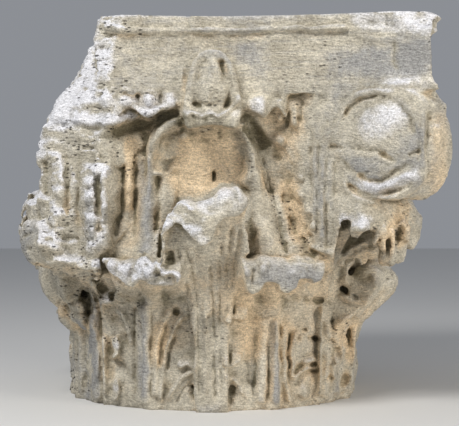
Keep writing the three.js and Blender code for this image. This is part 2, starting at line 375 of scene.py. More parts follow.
@dataclass(frozen=True)
class AcanthusLeaf:
    """An acanthus leaf, bent along a spine of (radius, height) points."""

    angle: float
    spine: Points
    half_width: Points
    backing: Points
    lobes: Lobes
    rib: float
    lean: float = 1.0
    sway: Points = ((0, 0), (1, 0))
    crest: Points = ((-1, -18), (-0.5, -5), (0, 3), (0.5, -5), (1, -18))
    lip: Points = (
        (-1, 30), (-0.8, 12), (-0.68, 14), (-0.6, 20), (-0.45, 5), (-0.32, 4), (-0.2, 11), (-0.1, 1), (0, -3),
        (0.1, 1), (0.2, 11), (0.32, 4), (0.45, 5), (0.6, 20), (0.68, 14), (0.8, 12), (1, 30),
    )
    relief: float = 1.0
    stem: float = 0.26
    curl: float = 0.7
    across: int = 72
    along: int = 110

    def shape(self, u: Array, v: Array, w: Array) -> Array:
        """Bend a slab into the leaf."""
        curve = Path2([(mix(LEAF_FOOT, r, self.lean), z) for r, z in self.spine])
        side = np.abs(u)
        head = smooth(0.72, 0.95, v)
        across, height, tx, tz = curve.at(v)
        lobes = self.lobes
        wander = 0.05 * np.sin(self.angle * 11 + np.sign(u) * 2 + height * 0.02)
        rise = (height + lobes.sweep * (1 - side) ** 1.5 + lobes.start) / lobes.pitch + wander
        fold = rise - np.floor(rise)
        blade = smooth(lobes.first, lobes.first + 0.12, v) * (1 - head)
        leaflet = np.abs(np.sin(fold * math.pi * 3))
        notch = blade * smooth(0.55, 1, side) * (0.2 * np.maximum(0, 2 * fold - 1) + 0.05 * (1 - leaflet))
        ribs = self.rib * (1 - smooth(self.stem - 0.2, self.stem, side)) * (1 - 0.6 * head)
        groove = smooth(0.0, 0.05, np.abs(side - 0.11)) - 1
        ribs = ribs + 2.5 * groove * (1 - head)
        plump = lobes.depth * (1 - fold) ** 0.8 * smooth(0.22, 0.8, side)
        veins = 2.6 * (leaflet**0.7 - 1) * smooth(0.2, 0.5, side)
        eye = -5 * np.exp(-(((side - 0.62) * 34 / 7) ** 2) - (((fold - 0.97) * lobes.pitch / 9) ** 2))
        furrow = 3 * smooth(0.1, 0.25, side) * (1 - smooth(0.25, 0.6, side))
        fingers = 4 * head * (np.abs(np.cos(u * math.pi * 2.5)) ** 0.6 - 1)
        front = ribs + self.relief * (blade * (plump + veins + eye) - furrow + fingers)
        curl = smooth(self.curl, self.curl + 0.14, v)
        teeth = 3.2 * curl * (np.abs(np.cos(u * math.pi * 2.5 + self.angle)) ** 0.6 - 0.6)
        back = ramp(self.backing, v) + teeth
        off = np.where(w > 0, front, -back)
        half = ramp(self.half_width, v) * (1 - notch)
        turn = (u * half + ramp(self.sway, v)) / np.maximum(across, BELL_RADIUS)
        drop = mix(ramp(self.crest, u), ramp(self.lip, u), smooth(0.8, 1, v)) * smooth(0.5, 0.74, v)
        z = height - tx * off + drop
        z = np.where(v < 0.002, -8, z)
        return polar(across + tz * off, self.angle + turn, z)

    def build(self) -> bpy.types.Mesh:
        """Make the mesh of the leaf."""
        return slab("leaf", self.across, self.along, self.shape)


class Row(Enum):
    """The two rows of leaves."""

    LOWER = "lower"
    UPPER = "upper"


@dataclass(frozen=True)
class LeafRow:
    """One row of eight leaves round the bell."""

    row: Row
    count: int = 8
    lower_spine: Points = (
        (LEAF_FOOT, 0), (214, 80), (217, 132), (227, 170), (246, 195), (266, 202), (281, 194), (285, 168),
    )
    face_spine: Points = (
        (LEAF_FOOT, 0), (216, 110), (222, 185), (234, 235), (256, 275), (280, 290), (298, 285), (305, 267),
        (303, 242),
    )
    corner_spine: Points = (
        (LEAF_FOOT, 0), (216, 110), (226, 165), (245, 210), (277, 246), (306, 262), (326, 258), (334, 236),
        (331, 203),
    )

    def lower(self, angle: float) -> AcanthusLeaf:
        """A leaf of the lower row."""
        plain = {
            "spine": self.lower_spine,
            "lean": 0.9 if abs(math.sin(angle)) > 0.8 else 1.0,
            "half_width": ((0, 62), (0.5, 76), (0.72, 66), (0.9, 57), (1, 44)),
            "backing": ((0, 40), (0.55, 50), (0.72, 34), (1, 18)),
            "lobes": Lobes(pitch=58, start=22, sweep=90, depth=13, first=-0.2),
            "rib": 9,
        }
        return AcanthusLeaf(angle=angle, **(plain | HEADS.get((self.row, round(math.degrees(angle))), {})))

    def upper(self, angle: float) -> AcanthusLeaf:
        """A leaf of the upper row, which reaches further out under a corner."""
        corner = abs(math.sin(2 * angle)) > 0.5
        plain = {
            "spine": self.corner_spine if corner else self.face_spine,
            "lean": 0.94 if corner else 1 - 0.16 * abs(math.sin(angle)),
            "half_width": ((0, 24), (0.4, 25), (0.55, 56), (0.75, 58), (0.9, 49), (1, 36)),
            "backing": ((0, 40), (0.5, 60), (0.62, 62 if corner else 50), (0.78, 28), (1, 18)),
            "lobes": Lobes(pitch=52, start=10, sweep=70, depth=12, first=0.42),
            "rib": 8,
        }
        return AcanthusLeaf(angle=angle, **(plain | HEADS.get((self.row, round(math.degrees(angle))), {})))

    def build(self) -> list[bpy.types.Mesh]:
        """Make the meshes of the row."""
        step = 2 * math.pi / self.count
        if self.row is Row.LOWER:
            return [self.lower((i + 0.5) * step).build() for i in range(self.count)]
        return [self.upper(i * step).build() for i in range(self.count)]


# Leaves that broke or wore in their own way, by row and angle in degrees. Crests and lips are shares of the
# half width against millimetres up or down.
HEADS = {
    (Row.UPPER, 0): {
        "spine": (
            (221, 0), (226, 110), (238, 170), (258, 215), (275, 250), (288, 280), (298, 288), (305, 280),
            (307, 262), (304, 242),
        ),
        "relief": 0.2,
        "stem": 1.1,
        "half_width": ((0, 23), (0.29, 24), (0.46, 32), (0.59, 47), (0.73, 60), (0.9, 58), (1, 55)),
        "backing": ((0, 40), (0.5, 60), (0.72, 60), (0.86, 24), (1, 20)),
        "sway": ((0, 0), (0.5, -2), (0.75, -9), (1, -12)),
        "crest": ((-1, -60), (-0.69, -43), (-0.55, -26), (0, -21), (0.375, -6), (0.76, -4), (1, -26)),
        "lip": (
            (-1, -42), (-0.93, -20), (-0.87, 18), (-0.6, 25), (-0.4, 14), (-0.18, 2), (0, -7), (0.25, 2),
            (0.31, 22), (0.5, 33), (0.8, 35), (1, 45),
        ),
    },
    (Row.LOWER, 22): {
        "relief": 0.3,
        "half_width": ((0, 62), (0.5, 76), (0.72, 66), (0.9, 58), (1, 56)),
        "backing": ((0, 40), (0.55, 50), (0.72, 38), (1, 22)),
        "sway": ((0, 4), (0.5, 3), (0.8, -14), (1, -16)),
        "crest": ((-1, -20), (0, -15), (1, -22)),
        "lip": (
            (-1, 30), (-0.9, 3), (-0.8, -2), (-0.62, 2), (-0.52, 16), (-0.22, 15), (-0.14, 2), (0.02, -1),
            (0.2, 2), (0.34, 18), (0.6, 19), (0.75, 12), (0.92, 15), (1, 32),
        ),
    },
    (Row.LOWER, 338): {
        "relief": 0.3,
        "half_width": ((0, 62), (0.5, 76), (0.72, 66), (0.9, 58), (1, 56)),
        "backing": ((0, 40), (0.55, 50), (0.72, 38), (1, 22)),
        "sway": ((0, -4), (0.5, -3), (0.8, 14), (1, 18)),
        "crest": ((-1, -26), (-0.5, -22), (0, -18), (1, -22)),
        "lip": (
            (-1, 40), (-0.85, 28), (-0.6, 20), (-0.4, 9), (-0.15, 7), (0, 18), (0.08, 18), (0.2, 12),
            (0.4, 10), (0.85, 11), (1, 22),
        ),
    },
    (Row.LOWER, 68): {
        "spine": (
            (LEAF_FOOT, 0), (220, 40), (222, 90), (231, 112), (254, 134), (272, 154), (284, 172),
            (280, 190), (266, 202), (250, 206),
        ),
        "lean": 1.0,
        "relief": 0.5,
        "half_width": ((0, 62), (0.4, 70), (0.6, 66), (0.9, 62), (1, 54)),
        "backing": ((0, 40), (0.4, 50), (0.6, 70), (1, 60)),
        "crest": ((-1, 0), (1, 0)),
        "lip": ((-1, -8), (0, 0), (1, -8)),
    },
    (Row.LOWER, 292): {
        "spine": (
            (LEAF_FOOT, 0), (214, 96), (228, 112), (238, 124), (236, 136), (252, 152), (264, 172), (268, 192),
            (260, 206), (244, 210),
        ),
        "lean": 1.0,
        "relief": 0.5,
        "half_width": ((0, 62), (0.4, 70), (0.6, 62), (0.9, 60), (1, 54)),
        "backing": ((0, 40), (0.4, 50), (0.6, 70), (1, 60)),
        "crest": ((-1, 0), (1, 0)),
        "lip": ((-1, -6), (0, 0), (1, -6)),
    },
    (Row.UPPER, 45): {
        "spine": (
            (LEAF_FOOT, 0), (216, 110), (226, 165), (245, 210), (277, 246), (306, 262), (328, 260),
            (338, 238), (335, 203),
        ),
        "relief": 0.6,
        "half_width": ((0, 24), (0.4, 25), (0.55, 56), (0.75, 66), (0.9, 68), (1, 66)),
        "backing": ((0, 40), (0.5, 60), (0.62, 62), (0.78, 30), (1, 20)),
        "sway": ((0, 0), (0.5, 0), (0.8, 4), (1, 6)),
        "crest": ((-1, 6), (-0.6, 20), (0, 16), (0.6, 18), (1, 4)),
        "lip": (
            (-1, 40), (-0.9, 52), (-0.45, 54), (-0.38, 30), (-0.2, 24), (-0.15, 34), (-0.1, 4), (0.08, 0),
            (0.12, 16), (0.16, 6), (0.4, 6), (0.47, 42), (0.55, 34), (0.75, 22), (0.95, 30), (1, 60),
        ),
    },
    (Row.UPPER, 315): {
        "spine": (
            (LEAF_FOOT, 0), (216, 110), (224, 160), (246, 182), (286, 198), (318, 208), (334, 224),
            (340, 246), (332, 264), (310, 272),
        ),
        "relief": 0.3,
        "half_width": ((0, 24), (0.4, 28), (0.55, 60), (0.75, 66), (0.9, 66), (1, 60)),
        "backing": ((0, 40), (0.45, 60), (0.65, 90), (1, 90)),
        "crest": ((-1, 0), (1, 0)),
        "lip": ((-1, 0), (1, 0)),
    },
}


@dataclass(frozen=True)
class Stalk:
    """A stalk on the bell, along a path of (along the side, height) points."""

    mirror: int
    path: Points
    half: tuple[float, float]
    swell: tuple[float, float]

    def shape(self, u: Array, v: Array, w: Array) -> Array:
        """Bend a slab into the stalk."""
        x0, z0, tx, tz = Path2(self.path).at(v)
        sideways = u * mix(*self.half, v)
        x, z = x0 + tz * sideways, z0 - tx * sideways
        flutes = 1.6 * np.cos(u * math.pi * 2.5)
        front = BELL.radius(z) + mix(*self.swell, v) * np.cos(u * 1.2) + flutes
        return polar(np.where(w > 0, front, BELL_CORE), self.mirror * x / STALK_RADIUS, z)

    def build(self) -> bpy.types.Mesh:
        """Make the mesh of the stalk."""
        return slab("stalk", 24, 80, self.shape)


def whole_stalk(mirror: int) -> Stalk:
    """A whole stalk, which bends over at its top towards the flower."""
    return Stalk(mirror, ((90, 190), (89, 300), (87, 352), (76, 388), (44, 408)), (17, 10), (30, 24))


def broken_stalk(mirror: int) -> Stalk:
    """A broken stalk, which tapers straight to the flower."""
    return Stalk(mirror, ((83, 190), (76, 270), (63, 342), (44, 404)), (26, 6), (30, 16))


@dataclass(frozen=True)
class Fan:
    """The crumpled leaf between a stalk and a volute, with a ragged inner edge."""

    mirror: int
    inner_edge: Points = ((230, 127), (300, 117), (375, 101), (430, 90))
    outer_edge: Points = ((212, 168), (300, 182), (374, 184), (440, 215))

    def shape(self, u: Array, v: Array, w: Array) -> Array:
        """Bend a slab into the fan."""
        z = mix(212, 440, v)
        ragged = 6 * np.cos(z * 0.21) + 2.5 * np.cos(z * 0.53)
        x = mix(ramp(self.inner_edge, z) + ragged, ramp(self.outer_edge, z), (u + 1) / 2)
        bell = np.sqrt(np.maximum(BELL.radius(z) ** 2 - x * x, 1))
        relief = 9 + 5 * np.cos(u * 4.2 + 0.4) + 2 * np.cos(z * 0.11 + u * 3)
        relief = relief + 1.8 * np.cos(u * 13 + z * 0.02)
        web = VOLUTE_OUT + math.tan(VOLUTE_TURN) * (x - VOLUTE_ALONG)
        front = np.maximum(bell, web) + relief * smooth(205, 250, z)
        return np.stack([self.mirror * x, np.where(w > 0, -front, 45 - bell), z], axis=1)

    def build(self) -> bpy.types.Mesh:
        """Make the mesh of the fan."""
        return slab("fan", 40, 90, self.shape)


@dataclass(frozen=True)
class Canopy:
    """The folded leaf tips that overhang the bell under the abacus, beside the flower."""

    mirror: int
    reach: float

    def shape(self, u: Array, v: Array, w: Array) -> Array:
        """Bend a slab into the tips."""
        x = mix(38, self.reach, (u + 1) / 2)
        z = mix(417 - 7 * np.cos(u * 6), ABACUS_BOTTOM + 12, v)
        folds = 6 * np.cos(u * 5.2) + 2.5 * np.cos(u * 15)
        front = abacus_out(x) - 8 + folds * (1 - 0.5 * v) - 10 * v
        return np.stack([self.mirror * x, np.where(w > 0, -front, -150), z], axis=1)

    def build(self) -> bpy.types.Mesh:
        """Make the mesh of the tips."""
        return slab("canopy", 50, 16, self.shape)


@dataclass(frozen=True)
class Apron:
    """Stone that fills the gap between the bell and the head of a leaf in front of it."""

    start: float
    end: float
    front: Points

    def shape(self, u: Array, v: Array, w: Array) -> Array:
        """Bend a slab into the apron."""
        z = mix(self.front[0][0], self.front[-1][0], v)
        angle = np.radians(mix(self.start, self.end, (u + 1) / 2))
        edge = 14 * smooth(0.7, 1, np.abs(u))
        return polar(np.where(w > 0, ramp(self.front, z) - edge, BELL_CORE), angle, z)

    def build(self) -> bpy.types.Mesh:
        """Make the mesh of the apron."""
        return slab("apron", 30, 40, self.shape)


APRONS = (
    Apron(-45, -14, ((196, 262), (222, 262), (250, 246), (300, 232), (330, 222))),
    Apron(10, 46, ((196, 262), (224, 262), (246, 246), (268, 234), (304, 222))),
    Apron(-63, -33, ((165, 222), (190, 258), (215, 288), (250, 306), (300, 316), (340, 318))),
)


def web_point(s: Array, side: Array, z: Array) -> Array:
    """A point on the web of a corner: s outwards from the middle of the volute, side from -1 to 1."""
    along = VOLUTE_ALONG + s * math.cos(VOLUTE_TURN)
    out = VOLUTE_OUT + s * math.sin(VOLUTE_TURN)
    share = (side + 1) / 2
    return np.stack([mix(along, out, share), -mix(out, along, share), z], axis=1)


@dataclass(frozen=True)
class CornerWeb:
    """The solid stone of a corner, from the bell out to its volute, by (height, outer end)."""

    outer: Points = (
        (170, -190), (210, -165), (250, -122), (284, -84), (300, -50), (322, 20), (352, 50), (425, 58),
        (450, 30),
    )

    def shape(self, u: Array, v: Array, w: Array) -> Array:
        """Bend a slab into the web."""
        z = mix(170, ABACUS_BOTTOM + 10, v)
        return web_point(np.where(w > 0, ramp(self.outer, z), -205), u, z)

    def build(self) -> bpy.types.Mesh:
        """Make the mesh of the web."""
        return slab("web", 30, 70, self.shape)


@dataclass(frozen=True)
class Volute:
    """A thick roll whose two faces carry a disc, a groove and a rim."""

    radius: float = 73.0
    reach: float = 66.0
    face: Points = (
        (0, 1.27), (0.3, 1.28), (0.5, 1.26), (0.6, 1.24), (0.62, 1.17), (0.64, 1.17), (0.66, 1.23),
        (0.78, 1.2), (0.8, 1.08), (0.83, 1.08), (0.86, 1.2), (0.93, 1.22), (0.98, 1.14), (1.0, 0.95),
        (1.0, 0.5), (0.96, 0.3),
    )

    def shape(self, x: Array, y: Array, z: Array) -> Array:
        """Stand the roll in the corner."""
        return web_point(x * self.reach, z, VOLUTE_HEIGHT + y * self.radius)

    def build(self) -> bpy.types.Mesh:
        """Make the mesh of the volute."""
        other = [(share, -side) for share, side in self.face]
        return turned("volute", [*other, (0.96, 0), *reversed(self.face)], 120, self.shape)


@dataclass(frozen=True)
class Flower:
    """The flower on the middle of a side: a bud in front of a hooded leaf, in a cup."""

    low: float = 398.0
    high: float = 503.0
    back: float = -205.0
    outline: Points = ((398, 34), (420, 41), (455, 36), (475, 31), (489, 25), (498, 17), (503, 7))

    def hood(self, u: Array, v: Array, w: Array) -> Array:
        """Bend a slab into the hooded leaf and its cup."""
        z = mix(self.low, self.high, v)
        rim = 9 * np.maximum(smooth(0.55, 0.8, np.abs(u)), smooth(0.86, 0.95, v + 0.1 * u * u))
        cup = 30 * (1 - smooth(0.1, 0.27, v)) * (1 - 0.45 * u * u)
        frill = 2.5 * np.cos(u * 14) * (1 - smooth(0.1, 0.3, v))
        front = ABACUS_MIDDLE + 6 + rim + cup + frill
        lifted = z - cup * 0.25 * u * u
        return np.stack([u * ramp(self.outline, z), np.where(w > 0, -front, self.back), lifted], axis=1)

    def bud(self, x: Array, y: Array, z: Array) -> Array:
        """Shape a ball into the bud."""
        angle = np.arctan2(x, -y)
        creases = 1 - 0.16 * (1 - np.abs(np.cos(angle * 2.5 + 0.4 + 0.5 * z)) ** 0.5)
        taper = (1 - 0.45 * smooth(-0.2, 1, z)) * creases
        return np.stack([x * 23 * taper, y * 22 * taper - ABACUS_MIDDLE - 10, z * 40 + 452], axis=1)

    def build(self) -> list[bpy.types.Mesh]:
        """Make the meshes of the flower."""
        bm = bmesh.new()
        bmesh.ops.create_uvsphere(bm, u_segments=48, v_segments=32, radius=1.0)
        bud = to_mesh(bm, "bud")
        flat = coordinates(bud)
        move_to(bud, self.bud(flat[:, 0], flat[:, 1], flat[:, 2]))
        return [slab("hood", 60, 60, self.hood), bud]


@dataclass(frozen=True)
class Breakage:
    """A rough plane through a point, which takes away the stone beyond it."""

    point: tuple[float, float, float]
    normal: tuple[float, float, float]
    size: float = 700.0
    seed: float = 1.0

    @property
    def aim(self) -> Matrix:
        """The turn that brings Z onto the normal."""
        return Vector((0, 0, 1)).rotation_difference(Vector(self.normal).normalized()).to_matrix()

    def bumps(self, a: Array, b: Array) -> Array:
        """Height of the broken face over the plane."""
        s = self.seed
        broad = np.sin(a * 0.047 + s) * np.cos(b * 0.039 - s * 1.7)
        middling = 0.6 * np.sin(a * 0.101 - b * 0.083 + s * 2.3)
        small = 0.35 * np.cos(a * 0.19 + b * 0.21 + s)
        flat = np.stack([a, b, np.zeros_like(a)], axis=1)
        splinters = NOISE.rough(flat, 46, 4, s * 3.7)
        return SPALL * (0.6 * (broad + middling + small) / 1.95 + 0.55 * splinters)

    def beyond(self, points: Array) -> Array:
        """How far each point lies beyond the broken face."""
        local = (points - np.array(self.point)) @ np.array(self.aim)
        return local[:, 2] - self.bumps(local[:, 0], local[:, 1])

    def cutter(self) -> bpy.types.Object:
        """Make the block of space beyond the face."""
        bm = bmesh.new()
        steps = int(self.size / 7)
        bmesh.ops.create_grid(bm, x_segments=steps, y_segments=steps, size=self.size / 2)
        made = bmesh.ops.extrude_face_region(bm, geom=bm.faces[:], use_keep_orig=True)
        far = [item for item in made["geom"] if isinstance(item, bmesh.types.BMVert)]
        bmesh.ops.translate(bm, verts=far, vec=(0, 0, self.size))
        mesh = to_mesh(bm, "breakage")
        flat = coordinates(mesh)
        near = flat[:, 2] < 1
        flat[near, 2] = self.bumps(flat[near, 0], flat[near, 1])
        move_to(mesh, flat @ np.array(self.aim).T + np.array(self.point))
        right_side_out(mesh)
        return bpy.data.objects.new("breakage", mesh)


@dataclass(frozen=True)
class Chip:
    """A round chip knocked out of an edge."""

    centre: tuple[float, float, float]
    radii: tuple[float, float, float]

    def beyond(self, points: Array) -> Array:
        """How far each point lies inside the chip."""
        share = np.linalg.norm((points - np.array(self.centre)) / np.array(self.radii), axis=1)
        return (1 - share) * min(self.radii) + 3 * NOISE.rough(points, 24, 3, 5.0)

    def cutter(self) -> bpy.types.Object:
        """Make the space of the chip."""
        bm = bmesh.new()
        bmesh.ops.create_icosphere(bm, subdivisions=5, radius=1.0)
        mesh = to_mesh(bm, "chip")
        flat = coordinates(mesh)
        rough = 1 + 0.12 * NOISE.rough(flat * 60, 30, 3)
        move_to(mesh, flat * rough[:, None] * np.array(self.radii) + np.array(self.centre))
        return bpy.data.objects.new("chip", mesh)


def bed(height: float, up: float) -> bpy.types.Object:
    """Make the block of space beyond a flat bed, which looks up or down."""
    bm = bmesh.new()
    bmesh.ops.create_grid(bm, x_segments=120, y_segments=120, size=420.0)
    made = bmesh.ops.extrude_face_region(bm, geom=bm.faces[:], use_keep_orig=True)
    far = [item for item in made["geom"] if isinstance(item, bmesh.types.BMVert)]
    bmesh.ops.translate(bm, verts=far, vec=(0, 0, 60 * up))
    bmesh.ops.translate(bm, verts=bm.verts[:], vec=(0, 0, height))
    mesh = to_mesh(bm, "bed")
    right_side_out(mesh)
    return bpy.data.objects.new("bed", mesh)


class Join(Enum):
    """How one solid acts on another."""

    UNION = "UNION"
    INTERSECT = "INTERSECT"
    DIFFERENCE = "DIFFERENCE"


def linked(obj: bpy.types.Object) -> bpy.types.Object:
    """Put a work object in the scene."""
    bpy.context.scene.collection.objects.link(obj)
    return obj


def discard(obj: bpy.types.Object) -> None:
    """Take a work object and its mesh away."""
    mesh = obj.data
    bpy.data.objects.remove(obj)
    bpy.data.meshes.remove(mesh)


def settle(obj: bpy.types.Object) -> bpy.types.Mesh:
    """Give the mesh of an object with its modifiers applied."""
    depsgraph = bpy.context.evaluated_depsgraph_get()
    return bpy.data.meshes.new_from_object(obj.evaluated_get(depsgraph))


def combined(base: bpy.types.Object, how: Join, other: bpy.types.Object) -> bpy.types.Object:
    """Join two closed solids, and use them up.

    Args:
        base: The solid that is changed.
        how: Union, intersection or difference.
        other: The solid that acts on it.

    Returns:
        The new solid.
    """
    for obj in (base, other):
        if obj.name not in bpy.context.scene.collection.objects:
            linked(obj)
    tool = base.modifiers.new("join", "BOOLEAN")
    tool.operation = how.value
    tool.solver = "MANIFOLD"
    tool.object = other
    result = bpy.data.objects.new("joined", settle(base))
    discard(base)
    discard(other)
    return linked(result)


@dataclass(frozen=True)
class LeftBreak:
    """The break on the left, which took two horns, their volutes and half of the leaf under them."""

    end: Breakage = Breakage((-159, -266, 500), (-1, 0, 0), seed=1.1)
    slope: Breakage = Breakage((-177, -112, 537), (-0.57, -0.54, 0.62), seed=2.7)
    edge: Breakage = Breakage((-254, -200, 375), (-1, 0.05, -0.16), seed=1.9)
    above_leaf: Breakage = Breakage((-240, -200, 296), (-0.1, -0.1, 0.98), seed=0.4)
    side: Breakage = Breakage((-165, 60, 520), (-0.9, 0.05, 0.43), size=1000, seed=4.2)
    top: Breakage = Breakage((-167, -100, 527), (-0.73, 0.13, 0.67), size=1000, seed=0.9)
    steep: Breakage = Breakage((-213, -215, 300), (-0.5, -0.86, 0.04), seed=5.3)
    leaf_half: Breakage = Breakage((-240, -240, 248), (0.6, -0.5, 0.62), seed=3.1)

    def beyond(self, points: Array) -> Array:
        """How far each point lies inside the lost stone."""
        horn = np.minimum(self.end.beyond(points), self.slope.beyond(points))
        horn = np.minimum(np.maximum(horn, self.edge.beyond(points)), self.above_leaf.beyond(points))
        flank = np.maximum(self.side.beyond(points), self.top.beyond(points))
        half = np.minimum(self.steep.beyond(points), self.leaf_half.beyond(points))
        return np.maximum(np.maximum(horn, flank), half)

    def cutter(self) -> bpy.types.Object:
        """Make the space of the lost stone."""
        horn = combined(self.end.cutter(), Join.INTERSECT, self.slope.cutter())
        horn = combined(horn, Join.UNION, self.edge.cutter())
        horn = combined(horn, Join.INTERSECT, self.above_leaf.cutter())
        horn = combined(horn, Join.UNION, self.side.cutter())
        horn = combined(horn, Join.UNION, self.top.cutter())
        half = combined(self.steep.cutter(), Join.INTERSECT, self.leaf_half.cutter())
        return combined(horn, Join.UNION, half)


# How a stroke is worked: how far a step stands up against its listed depth, how sharp the bottom of a
# groove is, how far a path wanders, how unevenly it is worn, and how much is raised and sunk of it.
STEP_RISE = 1.35
STEP_EDGE = 2.0
GROOVE_FALL = 1.15
WANDER = 1.7
UNEVEN = 0.5
RAISED = 1.25
SUNK = 0.9
# Strokes with a half width under this also take a tone of their own.
FINE_STROKE = 17


class Cut(Enum):
    """What a stroke of the chisel, or of time, leaves behind."""

    GROOVE = "groove"
    RIDGE = "ridge"
    STEP = "step"
    LUMP = "lump"
    HOLLOW = "hollow"


@dataclass(frozen=True)
class Stroke:
    """A mark on the front, along (across, height) points as seen from the standpoint.

    A groove or a ridge has a half width and a depth. A step stands proud on the left of its path as one
    walks along it, and fades out over its width. A lump and a hollow are round.
    """

    cut: Cut
    width: float
    depth: float
    path: Points
    taper: float = 0.12

    def effect(self, x: Array, z: Array) -> Array:
        """How far the stroke moves the surface out, at places across and up the front."""
        points = np.array(self.path, float)
        if len(points) == 1:
            distance = np.hypot(x - points[0, 0], z - points[0, 1])
            return self.sign() * self.depth * (1 - smooth(0.25, 1, distance / self.width))
        best = np.full(len(x), 1e9)
        signed = np.zeros(len(x))
        along = np.zeros(len(x))
        lengths = np.linalg.norm(np.diff(points, axis=0), axis=1)
        total, done = lengths.sum(), 0.0
        for a, b, length in zip(points, points[1:], lengths):
            d = (b - a) / length
            px, pz = x - a[0], z - a[1]
            t = np.clip(px * d[0] + pz * d[1], 0, length)
            distance = np.hypot(px - d[0] * t, pz - d[1] * t)
            near = distance < best
            best = np.where(near, distance, best)
            side = d[0] * pz - d[1] * px
            signed = np.where(near, np.where(side >= 0, distance, -distance), signed)
            along = np.where(near, (done + t) / total, along)
            done += length
        ends = smooth(0, self.taper, along) * smooth(0, self.taper, 1 - along) if self.taper else 1.0
        share = best / self.width
        if self.cut is Cut.STEP:
            rise = smooth(-STEP_EDGE, STEP_EDGE, signed) * np.clip(1 - signed / self.width, 0, 1)
            return STEP_RISE * self.depth * ends * np.where(signed > -2.5, rise, 0)
        if self.cut is Cut.GROOVE:
            return -self.depth * ends * (1 - np.clip(share, 0, 1) ** GROOVE_FALL)
        return self.sign() * self.depth * ends * np.clip(1 - share * share, 0, 1)

    def sign(self) -> int:
        """1 where the stroke adds stone and -1 where it takes it away."""
        return -1 if self.cut in (Cut.GROOVE, Cut.HOLLOW) else 1


def S(cut: Cut, width: float, depth: float, *path: tuple[float, float], taper: float = 0.12) -> Stroke:
    """Write a stroke down briefly."""
    return Stroke(cut, width, depth, path, taper)


